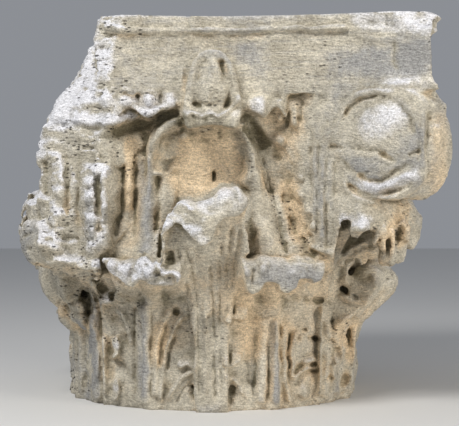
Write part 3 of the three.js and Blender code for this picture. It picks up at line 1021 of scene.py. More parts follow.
FRONT = (
    # Mouldings of the abacus: lines, cracks, a joint, gaps and pits.
    S(Cut.GROOVE, 5, 7, (-169, 552), (-81, 552), (28, 552), (121, 554), (214, 556), taper=0.02),
    S(Cut.RIDGE, 5, 5, (-168, 559), (-81, 559), (28, 559), (121, 562), (214, 563), taper=0.02),
    S(Cut.GROOVE, 3.5, 3, (-168, 567), (-81, 567), (28, 565), (121, 567), (214, 572), taper=0.02),
    S(Cut.GROOVE, 4, 4.5, (-169, 477), (-123, 470), (-61, 466), taper=0.03),
    S(Cut.RIDGE, 4, 3, (-169, 471), (-123, 465), (-61, 460), taper=0.03),
    S(Cut.GROOVE, 4, 4, (48, 462), (110, 465), (207, 469), (292, 469), (350, 471), taper=0.03),
    S(Cut.GROOVE, 4, 7, (273, 587), (273, 558)),
    S(Cut.GROOVE, 4, 7, (280, 587), (282, 558)),
    S(Cut.GROOVE, 4, 8, (283, 547), (284, 508), (291, 494)),
    S(Cut.GROOVE, 4, 7, (-37, 586), (-37, 555), taper=0),
    S(Cut.HOLLOW, 9, 4.5, (-39, 586)),
    S(Cut.GROOVE, 3, 5, (-89, 493), (-64, 493)),
    S(Cut.HOLLOW, 4, 3, (-95, 494)),
    S(Cut.HOLLOW, 4, 3, (-135, 542)),
    S(Cut.HOLLOW, 4, 2.5, (-23, 546)),
    S(Cut.GROOVE, 2.8, 4, (39, 525), (59, 525)),
    S(Cut.GROOVE, 2.8, 4, (14, 525), (30, 525)),
    S(Cut.GROOVE, 2.8, 4, (70, 525), (87, 525)),
    S(Cut.HOLLOW, 4, 3.5, (80, 493)),
    S(Cut.HOLLOW, 3.5, 2.5, (68, 486)),
    S(Cut.HOLLOW, 3.5, 2.5, (48, 493)),
    S(Cut.GROOVE, 2.8, 4, (135, 513), (151, 513)),
    S(Cut.GROOVE, 7, 9, (-180, 471), (-158, 469), (-137, 467)),
    S(Cut.HOLLOW, 8, 7, (-115, 460)),
    S(Cut.HOLLOW, 7, 6.5, (-80, 462)),
    S(Cut.GROOVE, 13, 6, (224, 577), (261, 572), (308, 567), (348, 564), taper=0.05),
    S(Cut.STEP, 9, 3.5, (350, 555), (334, 539), (320, 533), (305, 536), (280, 550), (256, 547),
      (242, 551), (218, 556), taper=0.03),
    S(Cut.RIDGE, 8, 3.5, (270, 482), (292, 479), (326, 482)),
    S(Cut.STEP, 14, 4, (-168, 561), (-143, 563), (-110, 566), (-109, 587), taper=0.02),
    # Leaf tips under the abacus on the left, their ledge and the deep slot below it.
    S(Cut.LUMP, 13, 9, (-163, 449)),
    S(Cut.LUMP, 12, 9, (-134, 449)),
    S(Cut.LUMP, 13, 10, (-98, 451)),
    S(Cut.LUMP, 13, 10, (-65, 452)),
    S(Cut.GROOVE, 4, 7, (-148, 463), (-147, 438)),
    S(Cut.GROOVE, 4, 9, (-117, 463), (-115, 438)),
    S(Cut.GROOVE, 4, 9, (-82, 463), (-81, 443)),
    S(Cut.RIDGE, 8, 10, (-252, 424), (-210, 420), (-183, 417), (-148, 418), (-129, 427), (-92, 431),
      (-51, 445), taper=0.04),
    S(Cut.GROOVE, 10, 18, (-158, 396), (-137, 406), (-103, 413), (-75, 424), (-47, 432), taper=0.08),
    # Left mass: weathered upright ridges, cracks and pits.
    S(Cut.RIDGE, 13, 10, (-241, 371), (-241, 295), (-241, 211), taper=0.04),
    S(Cut.GROOVE, 9, 13, (-256, 361), (-258, 319), (-256, 295)),
    S(Cut.GROOVE, 6, 8, (-227, 370), (-225, 295), (-225, 261)),
    S(Cut.GROOVE, 4.5, 11, (-242, 256), (-218, 256)),
    S(Cut.GROOVE, 5, 8, (-207, 373), (-207, 295), (-208, 215)),
    S(Cut.RIDGE, 15, 9, (-190, 353), (-193, 311), (-190, 257), (-180, 205), taper=0.06),
    S(Cut.RIDGE, 12, 8, (-163, 353), (-165, 311), (-166, 257), (-165, 215), taper=0.06),
    S(Cut.GROOVE, 5, 9, (-177, 330), (-177, 288), (-177, 239)),
    S(Cut.GROOVE, 10, 17, (-143, 358), (-140, 319), (-143, 272), (-152, 233)),
    S(Cut.RIDGE, 9, 6, (-129, 376), (-129, 330), (-131, 286)),
    S(Cut.GROOVE, 4.5, 9, (-118, 361), (-120, 295), (-123, 221)),
    S(Cut.RIDGE, 15, 9, (-103, 370), (-101, 295), (-101, 171), taper=0.04),
    S(Cut.GROOVE, 6, 10, (-84, 339), (-82, 295), (-84, 236)),
    S(Cut.GROOVE, 3.5, 7, (-200, 379), (-182, 378)),
    S(Cut.GROOVE, 3.5, 7, (-177, 362), (-158, 361)),
    S(Cut.GROOVE, 3.2, 6, (-236, 364), (-205, 361)),
    S(Cut.GROOVE, 3, 5, (-199, 289), (-177, 288)),
    S(Cut.GROOVE, 3, 5, (-174, 258), (-155, 260)),
    S(Cut.HOLLOW, 6, 5, (-162, 338)),
    S(Cut.HOLLOW, 5, 4.5, (-193, 312)),
    S(Cut.HOLLOW, 5, 4.5, (-177, 404)),
    S(Cut.HOLLOW, 5, 4, (-214, 364)),
    S(Cut.HOLLOW, 5, 4.5, (-137, 348)),
    S(Cut.HOLLOW, 6, 5, (-238, 421)),
    S(Cut.LUMP, 8, 6, (-180, 339)),
    S(Cut.LUMP, 9, 6, (-191, 323)),
    S(Cut.LUMP, 12, 7, (-270, 379)),
    S(Cut.LUMP, 10, 6, (-272, 399)),
    # Broken curl beside the flower, with its knob.
    S(Cut.RIDGE, 10, 15, (-48, 413), (-65, 407), (-79, 398), (-89, 384), (-93, 362)),
    S(Cut.GROOVE, 5, 9, (-84, 373), (-76, 390), (-62, 399)),
    S(Cut.LUMP, 12, 15, (-45, 395)),
    S(Cut.STEP, 10, 8, (-93, 336), (-81, 333), (-65, 336), (-53, 348), taper=0.15),
    S(Cut.GROOVE, 4.5, 9, (-90, 358), (-71, 354), (-54, 361)),
    # Bell under the flower, its drill hole and its right flank.
    S(Cut.GROOVE, 36, 8, (-9, 396), (-8, 311)),
    S(Cut.GROOVE, 5, 15, (2, 342), (3, 322)),
    S(Cut.RIDGE, 10, 10, (62, 373), (61, 348), (48, 320), (33, 302)),
    S(Cut.HOLLOW, 4.5, 4, (22, 339)),
    S(Cut.HOLLOW, 4.5, 4, (28, 323)),
    S(Cut.HOLLOW, 4, 3, (-51, 323)),
    S(Cut.HOLLOW, 4, 3, (-40, 305)),
    S(Cut.HOLLOW, 4, 3, (-62, 298)),
    # Flower: creases of the bud, the gap under it and the frill of the cup.
    S(Cut.GROOVE, 3.6, 6, (-8, 516), (-9, 482), (-12, 449)),
    S(Cut.GROOVE, 3.6, 6, (2, 497), (5, 469), (-2, 445)),
    S(Cut.GROOVE, 3.6, 5.5, (-20, 494), (-23, 469), (-20, 446)),
    S(Cut.GROOVE, 6, 10, (14, 516), (17, 472)),
    S(Cut.GROOVE, 5.5, 9, (-37, 507), (-40, 476), (-39, 451)),
    S(Cut.GROOVE, 4, 9, (-31, 444), (-12, 441), (14, 444)),
    S(Cut.STEP, 9, 8, (-50, 431), (-40, 424), (-31, 429), (-16, 421), (-3, 427), (11, 421), (25, 431),
      (44, 449), taper=0.04),
    S(Cut.LUMP, 9, 10, (42, 452)),
    S(Cut.RIDGE, 4, 4, (-45, 504), (-48, 476), (-45, 445)),
    S(Cut.RIDGE, 4, 4, (26, 510), (33, 476), (31, 445)),
    # Right of the flower: broken tips, a knob, the dark gap and the long stem with its groove.
    S(Cut.LUMP, 22, 11, (71, 441)),
    S(Cut.GROOVE, 3.5, 6, (62, 452), (68, 431)),
    S(Cut.GROOVE, 14, 20, (54, 417), (71, 395), (84, 373), taper=0.1),
    S(Cut.RIDGE, 7, 9, (104, 454), (107, 412)),
    S(Cut.RIDGE, 7, 9, (127, 454), (127, 406)),
    S(Cut.GROOVE, 5, 11, (117, 454), (118, 406)),
    S(Cut.GROOVE, 4, 8, (140, 454), (140, 412)),
    S(Cut.LUMP, 14, 14, (103, 389)),
    S(Cut.HOLLOW, 11, 8.5, (103, 361)),
    S(Cut.GROOVE, 5.5, 13, (48, 415), (64, 385), (78, 354), (87, 326), (98, 291), (109, 246),
      (118, 202), taper=0.05),
    S(Cut.RIDGE, 20, 9, (68, 350), (73, 295), (82, 241), (89, 208)),
    S(Cut.GROOVE, 4, 5, (57, 317), (59, 271), (59, 218)),
    S(Cut.HOLLOW, 9, 4.5, (64, 246)),
    S(Cut.HOLLOW, 5, 4, (73, 261)),
    S(Cut.GROOVE, 22, 10, (109, 345), (121, 295), (134, 239), taper=0.08),
    S(Cut.RIDGE, 6, 6, (101, 330), (112, 286), (124, 239)),
    # Striated leaf beside the volute, with its ragged edge.
    S(Cut.GROOVE, 4, 6, (154, 407), (152, 326), (151, 277)),
    S(Cut.GROOVE, 4, 6, (166, 396), (165, 326), (163, 236)),
    S(Cut.GROOVE, 4, 6.5, (179, 385), (177, 311), (179, 215)),
    S(Cut.GROOVE, 4, 6, (191, 361), (190, 295), (186, 215)),
    S(Cut.RIDGE, 5, 4, (172, 373), (171, 311), (171, 225)),
    S(Cut.RIDGE, 5, 4, (159, 389), (158, 311), (157, 257)),
    S(Cut.LUMP, 13, 12, (134, 302)),
    S(Cut.LUMP, 9, 9, (137, 330)),
    S(Cut.LUMP, 10, 9, (146, 277)),
    S(Cut.LUMP, 8, 9, (157, 255)),
    S(Cut.HOLLOW, 7, 6, (154, 239)),
    S(Cut.HOLLOW, 7, 6, (123, 350)),
    S(Cut.GROOVE, 3, 7, (131, 421), (152, 421)),
    S(Cut.RIDGE, 4, 4, (146, 379), (171, 385)),
    S(Cut.HOLLOW, 5, 4.5, (149, 368)),
    S(Cut.STEP, 12, 9, (149, 222), (165, 215), (180, 211), (196, 210), taper=0.1),
    S(Cut.GROOVE, 3.5, 11, (110, 200), (137, 199), (190, 200)),
    # Volute: its spiral lines, the crack across it and the rims below.
    S(Cut.GROOVE, 4, 10, (204, 413), (211, 435), (230, 451), (255, 457), (278, 454), (297, 441),
      (309, 421), (314, 396), taper=0.04),
    S(Cut.RIDGE, 6, 6, (194, 358), (193, 389), (196, 413), (208, 445), (227, 460), (255, 465),
      (287, 465), taper=0.04),
    S(Cut.LUMP, 48, 5, (261, 407)),
    S(Cut.GROOVE, 5, 11, (182, 379), (204, 374)),
    S(Cut.GROOVE, 4.4, 10, (210, 374), (230, 376), (239, 371), (252, 373), (267, 365), (280, 359),
      (291, 354)),
    S(Cut.GROOVE, 3.4, 8, (239, 353), (263, 355), (280, 349)),
    S(Cut.GROOVE, 4.5, 10, (305, 365), (328, 373)),
    S(Cut.HOLLOW, 6, 4.5, (244, 417)),
    S(Cut.HOLLOW, 4, 3, (221, 409)),
    S(Cut.HOLLOW, 7, 6, (267, 367)),
    S(Cut.GROOVE, 4, 9, (196, 361), (216, 344), (230, 335), (245, 339), (259, 345)),
    S(Cut.GROOVE, 4.4, 11, (225, 337), (244, 325), (264, 325), (283, 340), (301, 351), (317, 350)),
    S(Cut.GROOVE, 4, 10, (216, 322), (230, 308), (250, 302), (273, 307), (295, 313), (317, 325)),
    S(Cut.RIDGE, 7, 8, (233, 322), (255, 313), (277, 320), (295, 331), (315, 337)),
    S(Cut.RIDGE, 6, 9, (200, 333), (210, 311), (227, 297), (247, 292), (273, 297), (295, 303)),
    S(Cut.GROOVE, 7, 12, (337, 441), (336, 389), (337, 342), (329, 305)),
    S(Cut.GROOVE, 4, 8, (325, 432), (323, 373), (325, 326)),
    S(Cut.RIDGE, 5, 5, (350, 423), (351, 373), (348, 323)),
    # White lobe and fingered leaf under the volute.
    S(Cut.STEP, 16, 12, (194, 250), (207, 247), (222, 246), (247, 252), taper=0.06),
    S(Cut.RIDGE, 7, 12, (270, 258), (259, 238), (247, 225)),
    S(Cut.RIDGE, 6, 12, (272, 252), (267, 224), (263, 199)),
    S(Cut.RIDGE, 6, 12, (280, 255), (281, 227), (277, 205)),
    S(Cut.RIDGE, 9, 12, (289, 264), (303, 247), (300, 227)),
    S(Cut.GROOVE, 4.5, 17, (261, 239), (255, 215)),
    S(Cut.GROOVE, 4.5, 16, (273, 236), (270, 207)),
    S(Cut.GROOVE, 4.5, 17, (287, 246), (287, 221)),
    S(Cut.HOLLOW, 8, 4.5, (291, 250)),
    S(Cut.RIDGE, 5, 7, (196, 190), (204, 208), (218, 222), (236, 229), (255, 232)),
    # Far right head: its arch, hollow and eye.
    S(Cut.HOLLOW, 26, 7, (233, 187)),
    S(Cut.RIDGE, 6, 9, (202, 162), (210, 193), (224, 211), (239, 218), (255, 208)),
    S(Cut.GROOVE, 4, 7, (239, 173), (250, 182), (264, 177), (267, 162), (255, 149)),
    S(Cut.LUMP, 9, 6, (255, 165)),
    S(Cut.RIDGE, 6, 6, (196, 149), (222, 140), (245, 143), (266, 156), (278, 174)),
    S(Cut.GROOVE, 4, 7, (199, 137), (224, 131), (252, 137)),
    S(Cut.STEP, 11, 9, (191, 110), (200, 106), (210, 112), (221, 106), (231, 114), taper=0.1),
    # Corner stem and the lobes beside it.
    S(Cut.RIDGE, 11, 9, (174, 131), (174, 62), (172, -12), taper=0.04),
    S(Cut.GROOVE, 4, 9, (162, 131), (162, 62), (163, -12)),
    S(Cut.GROOVE, 3, 6, (174, 112), (174, 62), (172, -12)),
    S(Cut.GROOVE, 4, 9, (187, 124), (187, 62), (185, -12)),
    S(Cut.STEP, 15, 12, (188, 37), (197, 41), (205, 50), (207, 65), (204, 75), taper=0.1),
    S(Cut.HOLLOW, 15, 7, (200, 17)),
    S(Cut.RIDGE, 5, 6, (185, -3), (204, 0), (214, 16), (213, 37)),
    S(Cut.RIDGE, 6, 6, (221, 106), (222, 47), (216, -9)),
    S(Cut.GROOVE, 4, 6, (213, 101), (213, 65)),
    S(Cut.GROOVE, 4, 6, (230, 93), (228, 16)),
    S(Cut.GROOVE, 16, 7, (202, 101), (202, 81)),
    S(Cut.GROOVE, 7, 16, (140, 142), (165, 139), (185, 141)),
    # Middle leaf: its light curled edge, its flutes and its stem.
    S(Cut.RIDGE, 7, 17, (-64, 260), (-78, 249), (-84, 233), (-85, 210), (-84, 194), (-75, 182),
      (-61, 184), (-51, 177), (-54, 165), taper=0.03),
    S(Cut.GROOVE, 12, 19, (-68, 218), (-67, 193)),
    S(Cut.GROOVE, 4.5, 8, (-59, 230), (-44, 187), (-36, 140), (-33, 86)),
    S(Cut.GROOVE, 4.5, 8, (-44, 233), (-31, 187), (-23, 140), (-21, 47), (-22, -22)),
    S(Cut.GROOVE, 3.6, 6, (-30, 230), (-20, 187), (-14, 140), (-14, -22)),
    S(Cut.GROOVE, 4, 6, (-16, 215), (-11, 171), (-6, 109), (-6, -22)),
    S(Cut.GROOVE, 4.6, 10, (-5, 218), (-2, 171), (3, 109), (5, -29)),
    S(Cut.GROOVE, 4, 7, (17, 246), (12, 202), (13, 140), (14, -22)),
    S(Cut.GROOVE, 4.6, 8, (31, 261), (25, 210), (22, 152)),
    S(Cut.GROOVE, 4, 7, (44, 261), (36, 202), (30, 152)),
    S(Cut.RIDGE, 4, 4, (-25, 140), (-27, -15)),
    S(Cut.RIDGE, 4, 5, (-10, 140), (-10, -15)),
    S(Cut.GROOVE, 3, 9, (-22, 241), (16, 241)),
    S(Cut.GROOVE, 4, 6, (-45, 281), (-31, 271), (-14, 266)),
    S(Cut.GROOVE, 3.5, 6, (-9, 289), (-3, 277), (16, 283), (28, 295)),
    S(Cut.HOLLOW, 6, 4, (-39, 261)),
    S(Cut.HOLLOW, 5, 4, (3, 261)),
    S(Cut.HOLLOW, 5, 3, (31, 289)),
    S(Cut.LUMP, 9, 6, (44, 300)),
    S(Cut.LUMP, 8, 5, (-34, 278)),
    # Heads of the two lower leaves: folds, pits and knobs on their tops.
    S(Cut.GROOVE, 4, 7, (-146, 199), (-149, 184), (-141, 165)),
    S(Cut.GROOVE, 4, 7, (-121, 199), (-126, 177), (-127, 159)),
    S(Cut.GROOVE, 4, 8, (-101, 199), (-106, 180), (-99, 165)),
    S(Cut.GROOVE, 4, 6, (-92, 205), (-85, 180), (-71, 168)),
    S(Cut.LUMP, 10, 7, (-134, 184)),
    S(Cut.LUMP, 9, 6, (-158, 193)),
    S(Cut.HOLLOW, 6, 4.5, (-113, 190)),
    S(Cut.HOLLOW, 5, 4, (-140, 197)),
    S(Cut.GROOVE, 4, 7, (65, 193), (62, 171), (62, 152)),
    S(Cut.GROOVE, 4, 7, (90, 196), (87, 177)),
    S(Cut.GROOVE, 4, 7, (112, 196), (115, 174), (113, 152)),
    S(Cut.GROOVE, 4, 7, (141, 196), (137, 177)),
    S(Cut.GROOVE, 4, 7, (165, 196), (162, 174)),
    S(Cut.LUMP, 10, 7, (53, 184)),
    S(Cut.LUMP, 10, 7, (126, 180)),
    S(Cut.LUMP, 9, 6, (78, 187)),
    S(Cut.HOLLOW, 6, 4.5, (99, 184)),
    S(Cut.HOLLOW, 5, 4.5, (151, 184)),
    S(Cut.HOLLOW, 5, 4, (71, 165)),
    S(Cut.LUMP, 9, 7, (176, 184)),
    # Left lower leaf: rib, curled lobes on its left, long ribs on its right.
    S(Cut.GROOVE, 20, 8, (-134, 93), (-132, -8)),
    S(Cut.RIDGE, 11, 10, (-107, 134), (-107, 62), (-107, -25), taper=0.05),
    S(Cut.GROOVE, 4.5, 8, (-120, 131), (-120, 62), (-119, -18)),
    S(Cut.GROOVE, 4.5, 8, (-95, 128), (-95, 62), (-94, -18)),
    S(Cut.GROOVE, 3.4, 6, (-110, 124), (-110, -22)),
    S(Cut.GROOVE, 3, 4, (-102, 121), (-101, -22)),
    S(Cut.LUMP, 13, 13, (-163, 140)),
    S(Cut.RIDGE, 5, 7, (-154, 156), (-169, 149), (-174, 134), (-169, 120)),
    S(Cut.HOLLOW, 12, 8.5, (-152, 110)),
    S(Cut.RIDGE, 5, 9, (-152, 126), (-140, 117), (-132, 101), (-126, 70)),
    S(Cut.GROOVE, 4, 8, (-143, 110), (-135, 93), (-132, 70)),
    S(Cut.STEP, 15, 11, (-158, 55), (-152, 51), (-144, 59), (-143, 75), (-146, 87), taper=0.1),
    S(Cut.GROOVE, 5, 9, (-152, 47), (-140, 39), (-132, 33)),
    S(Cut.RIDGE, 4.4, 7, (-143, 58), (-132, 45), (-124, 19)),
    S(Cut.STEP, 15, 11, (-160, -14), (-151, -15), (-143, -6), (-143, 9), (-148, 20), taper=0.1),
    S(Cut.HOLLOW, 7, 5, (-137, 9)),
    S(Cut.RIDGE, 5, 8, (-44, 121), (-57, 96), (-71, 62), (-78, 22), (-79, -18), taper=0.05),
    S(Cut.GROOVE, 4.5, 11, (-47, 106), (-59, 81), (-68, 59), (-70, 28)),
    S(Cut.RIDGE, 6, 7, (-62, 128), (-76, 103), (-85, 72), (-89, 28), (-89, -12), taper=0.05),
    S(Cut.GROOVE, 4, 7, (-68, 106), (-79, 75), (-82, 37)),
    S(Cut.HOLLOW, 10, 8.5, (-53, 123)),
    S(Cut.STEP, 15, 12, (-59, 41), (-50, 34), (-39, 39), (-31, 33), (-22, 37), taper=0.1),
    S(Cut.HOLLOW, 5, 6, (-40, 37)),
    S(Cut.RIDGE, 4.6, 8, (-68, -18), (-62, 0), (-50, 19), (-31, 30), (-20, 33)),
    S(Cut.GROOVE, 4, 8, (-56, -22), (-44, 2), (-25, 19)),
    S(Cut.GROOVE, 20, 7, (-53, 86), (-44, 62)),
    # Right lower leaf: curled lobes on its left, rib, long ribs and drill holes on its right.
    S(Cut.GROOVE, 20, 9, (59, 132), (57, 78), (56, -3)),
    S(Cut.STEP, 24, 14, (17, 112), (28, 104), (37, 112), (47, 107), (54, 114), (56, 131), taper=0.06),
    S(Cut.HOLLOW, 12, 6, (36, 90)),
    S(Cut.STEP, 18, 13, (17, 37), (30, 37), (36, 41), (45, 45), (47, 59), taper=0.06),
    S(Cut.HOLLOW, 11, 5, (33, 25)),
    S(Cut.RIDGE, 4, 6, (17, 20), (31, 19), (44, 6), (48, -9)),
    S(Cut.GROOVE, 3.6, 6, (19, 11), (31, 8), (39, -12)),
    S(Cut.RIDGE, 6, 7, (99, 112), (99, 62), (99, -22), taper=0.05),
    S(Cut.RIDGE, 9, 8, (78, 112), (78, 62), (76, -22), taper=0.05),
    S(Cut.GROOVE, 3.6, 10, (105, 106), (104, 44)),
    S(Cut.GROOVE, 4, 7, (89, 70), (88, -22)),
    S(Cut.GROOVE, 4, 6, (67, 101), (67, 47), (64, -15)),
    S(Cut.RIDGE, 5, 9, (112, 103), (112, 62), (113, 16), (123, -22), taper=0.05),
    S(Cut.GROOVE, 3.6, 9, (120, 93), (117, 55), (120, 3)),
    S(Cut.RIDGE, 4.4, 9, (131, 95), (124, 62), (126, 16)),
    S(Cut.HOLLOW, 6, 9, (132, 81)),
    S(Cut.GROOVE, 5, 16, (146, 81), (168, 80)),
    S(Cut.GROOVE, 4, 12, (137, 93), (149, 92)),
    S(Cut.STEP, 13, 10, (137, 44), (146, 39), (155, 45), (163, 44), taper=0.1),
    S(Cut.GROOVE, 4, 10, (126, 22), (132, 34), (143, 39), (162, 37)),
    S(Cut.RIDGE, 4, 7, (126, 14), (135, 27), (149, 34), (165, 35)),
    S(Cut.GROOVE, 4, 10, (127, 3), (138, 20), (152, 28), (165, 30)),
    S(Cut.LUMP, 15, 9, (143, -3)),
    # Left corner leaf and the stems under it.
    S(Cut.RIDGE, 8, 8, (-309, 295), (-283, 302), (-252, 297)),
    S(Cut.GROOVE, 4, 6, (-298, 283), (-298, 258), (-303, 239)),
    S(Cut.GROOVE, 4, 6, (-283, 286), (-283, 250)),
    S(Cut.GROOVE, 4, 6, (-267, 286), (-267, 247)),
    S(Cut.LUMP, 18, 9, (-267, 224)),
    S(Cut.GROOVE, 4, 11, (-297, 235), (-283, 244), (-270, 246), (-252, 243)),
    S(Cut.HOLLOW, 11, 8, (-216, 176)),
    S(Cut.RIDGE, 6, 7, (-264, 193), (-239, 202), (-205, 199)),
    S(Cut.GROOVE, 4, 9, (-242, 138), (-218, 135), (-196, 143)),
    S(Cut.GROOVE, 4, 7, (-255, 184), (-242, 165), (-239, 146)),
    S(Cut.LUMP, 11, 8, (-233, 123)),
    S(Cut.LUMP, 12, 12, (-205, 132)),
    S(Cut.GROOVE, 4, 8, (-218, 120), (-202, 117), (-186, 123)),
    S(Cut.HOLLOW, 8, 6, (-196, 103)),
    S(Cut.RIDGE, 10, 14, (-177, 205), (-182, 156), (-182, 93), (-179, 31), (-177, -18), taper=0.04),
    S(Cut.RIDGE, 8, 8, (-169, 90), (-169, 39), (-168, -12)),
    S(Cut.GROOVE, 4.5, 10, (-193, 190), (-192, 93), (-193, -12)),
    S(Cut.GROOVE, 4, 8, (-166, 190), (-174, 156)),
    S(Cut.RIDGE, 6, 6, (-202, 93), (-202, -9)),
    S(Cut.GROOVE, 3.6, 6, (-210, 86), (-210, -3)),
    S(Cut.HOLLOW, 5, 5, (-185, 70)),
)


class Tone(Enum):
    """The colours that weather and shelter give the stone; olive also carries painted shade, ochre painted
    warm bounce light and bleached painted top light.
    """

    BLEACHED = 0
    OCHRE = 1
    GREY = 2
    OLIVE = 3


@dataclass(frozen=True)
class Stain:
    """A patch of tone on the front: an ellipse, or a band along a path."""

    tone: Tone
    amount: float
    width: float
    path: Points

    def effect(self, x: Array, z: Array) -> Array:
        """How strong the stain is at places across and up the front."""
        stroke = Stroke(Cut.LUMP if len(self.path) == 1 else Cut.RIDGE, self.width, 1.0, self.path, 0.0)
        return self.amount * np.clip(stroke.effect(x, z), 0, 1)


def T(tone: Tone, amount: float, width: float, *path: tuple[float, float]) -> Stain:
    """Write a stain down briefly."""
    return Stain(tone, amount, width, path)


STAINS = (
    # Bell under the flower and the hollows beside the stalks, with painted shadow under the cup of the flower
    # and under the ledges beside it.
    T(Tone.OCHRE, 0.9, 42, (-34, 330), (16, 339)),
    T(Tone.OCHRE, 0.5, 36, (-25, 365), (16, 370)),
    T(Tone.OLIVE, 0.5, 28, (-34, 410), (16, 407)),
    T(Tone.OCHRE, 0.8, 12, (-127, 381), (-129, 288)),
    T(Tone.OCHRE, 0.7, 20, (118, 311), (134, 246)),
    T(Tone.OLIVE, 0.6, 18, (-155, 398), (-112, 413), (-56, 426)),
    T(Tone.OLIVE, 0.6, 22, (56, 417), (84, 376)),
    # Bleached breaks and lips.
    T(Tone.BLEACHED, 0.6, 46, (-186, 513), (-227, 463), (-239, 438)),
    T(Tone.BLEACHED, 0.5, 14, (-252, 426), (-183, 418), (-129, 426), (-92, 431)),
    T(Tone.BLEACHED, 0.45, 16, (-168, 448), (-62, 451)),
    T(Tone.BLEACHED, 0.45, 20, (71, 441)),
    T(Tone.BLEACHED, 0.55, 34, (249, 412), (280, 426)),
    T(Tone.BLEACHED, 0.5, 14, (233, 320), (258, 311), (295, 323), (315, 336)),
    T(Tone.BLEACHED, 0.35, 26, (277, 482), (323, 482)),
    T(Tone.BLEACHED, 0.5, 20, (230, 575), (342, 563)),
    T(Tone.BLEACHED, 0.3, 24, (0, 289), (37, 295)),
    T(Tone.BLEACHED, 0.35, 12, (-71, 255), (-37, 252), (-12, 233)),
    T(Tone.BLEACHED, 0.45, 18, (-165, 196), (-140, 177), (-112, 184)),
    T(Tone.BLEACHED, 0.3, 16, (-96, 174), (-56, 171)),
    T(Tone.BLEACHED, 0.5, 14, (204, 266), (242, 263)),
    T(Tone.BLEACHED, 0.3, 14, (-177, 342), (-188, 314)),
    T(Tone.BLEACHED, 0.5, 10, (-162, 339)),
    T(Tone.BLEACHED, 0.5, 16, (-273, 395), (-267, 370)),
    T(Tone.BLEACHED, 0.4, 12, (-163, 143)),
    T(Tone.BLEACHED, 0.4, 10, (-149, 69)),
    T(Tone.BLEACHED, 0.4, 10, (-151, 2)),
    # Grey rain patina.
    T(Tone.GREY, 0.5, 30, (-180, 326), (-183, 233)),
    T(Tone.GREY, 0.6, 18, (-103, 350), (-103, 187)),
    T(Tone.GREY, 0.5, 28, (62, 184), (168, 177)),
    T(Tone.GREY, 0.55, 14, (-107, 140), (-107, -8)),
    T(Tone.GREY, 0.6, 24, (-186, 140), (-186, 0)),
    T(Tone.GREY, 0.45, 12, (96, 101), (99, -15)),
    T(Tone.GREY, 0.3, 14, (78, 47), (76, -15)),
    T(Tone.GREY, 0.4, 28, (168, 358), (171, 241)),
    T(Tone.GREY, 0.3, 30, (199, 513), (323, 510)),
    # Warm shelter low down and on the right, partly painted warm bounce light.
    T(Tone.OCHRE, 0.7, 26, (280, 233), (295, 252)),
    T(Tone.OCHRE, 0.5, 20, (354, 420), (354, 311)),
    T(Tone.OCHRE, 0.5, 16, (-81, 93), (-84, 47)),
    T(Tone.OCHRE, 0.4, 30, (59, 70), (62, 93)),
    T(Tone.OCHRE, 0.5, 26, (207, 93), (218, 62)),
    T(Tone.OCHRE, 0.7, 14, (-233, 123)),
    T(Tone.OCHRE, 0.7, 12, (-219, 69)),
    # Painted shade under the lips of the two lower leaves and in the hollow of the far right head.
    T(Tone.OLIVE, 0.4, 26, (233, 184)),
    T(Tone.OLIVE, 0.35, 20, (-146, 148), (-57, 146)),
    T(Tone.OLIVE, 0.35, 18, (78, 146), (137, 140)),
)


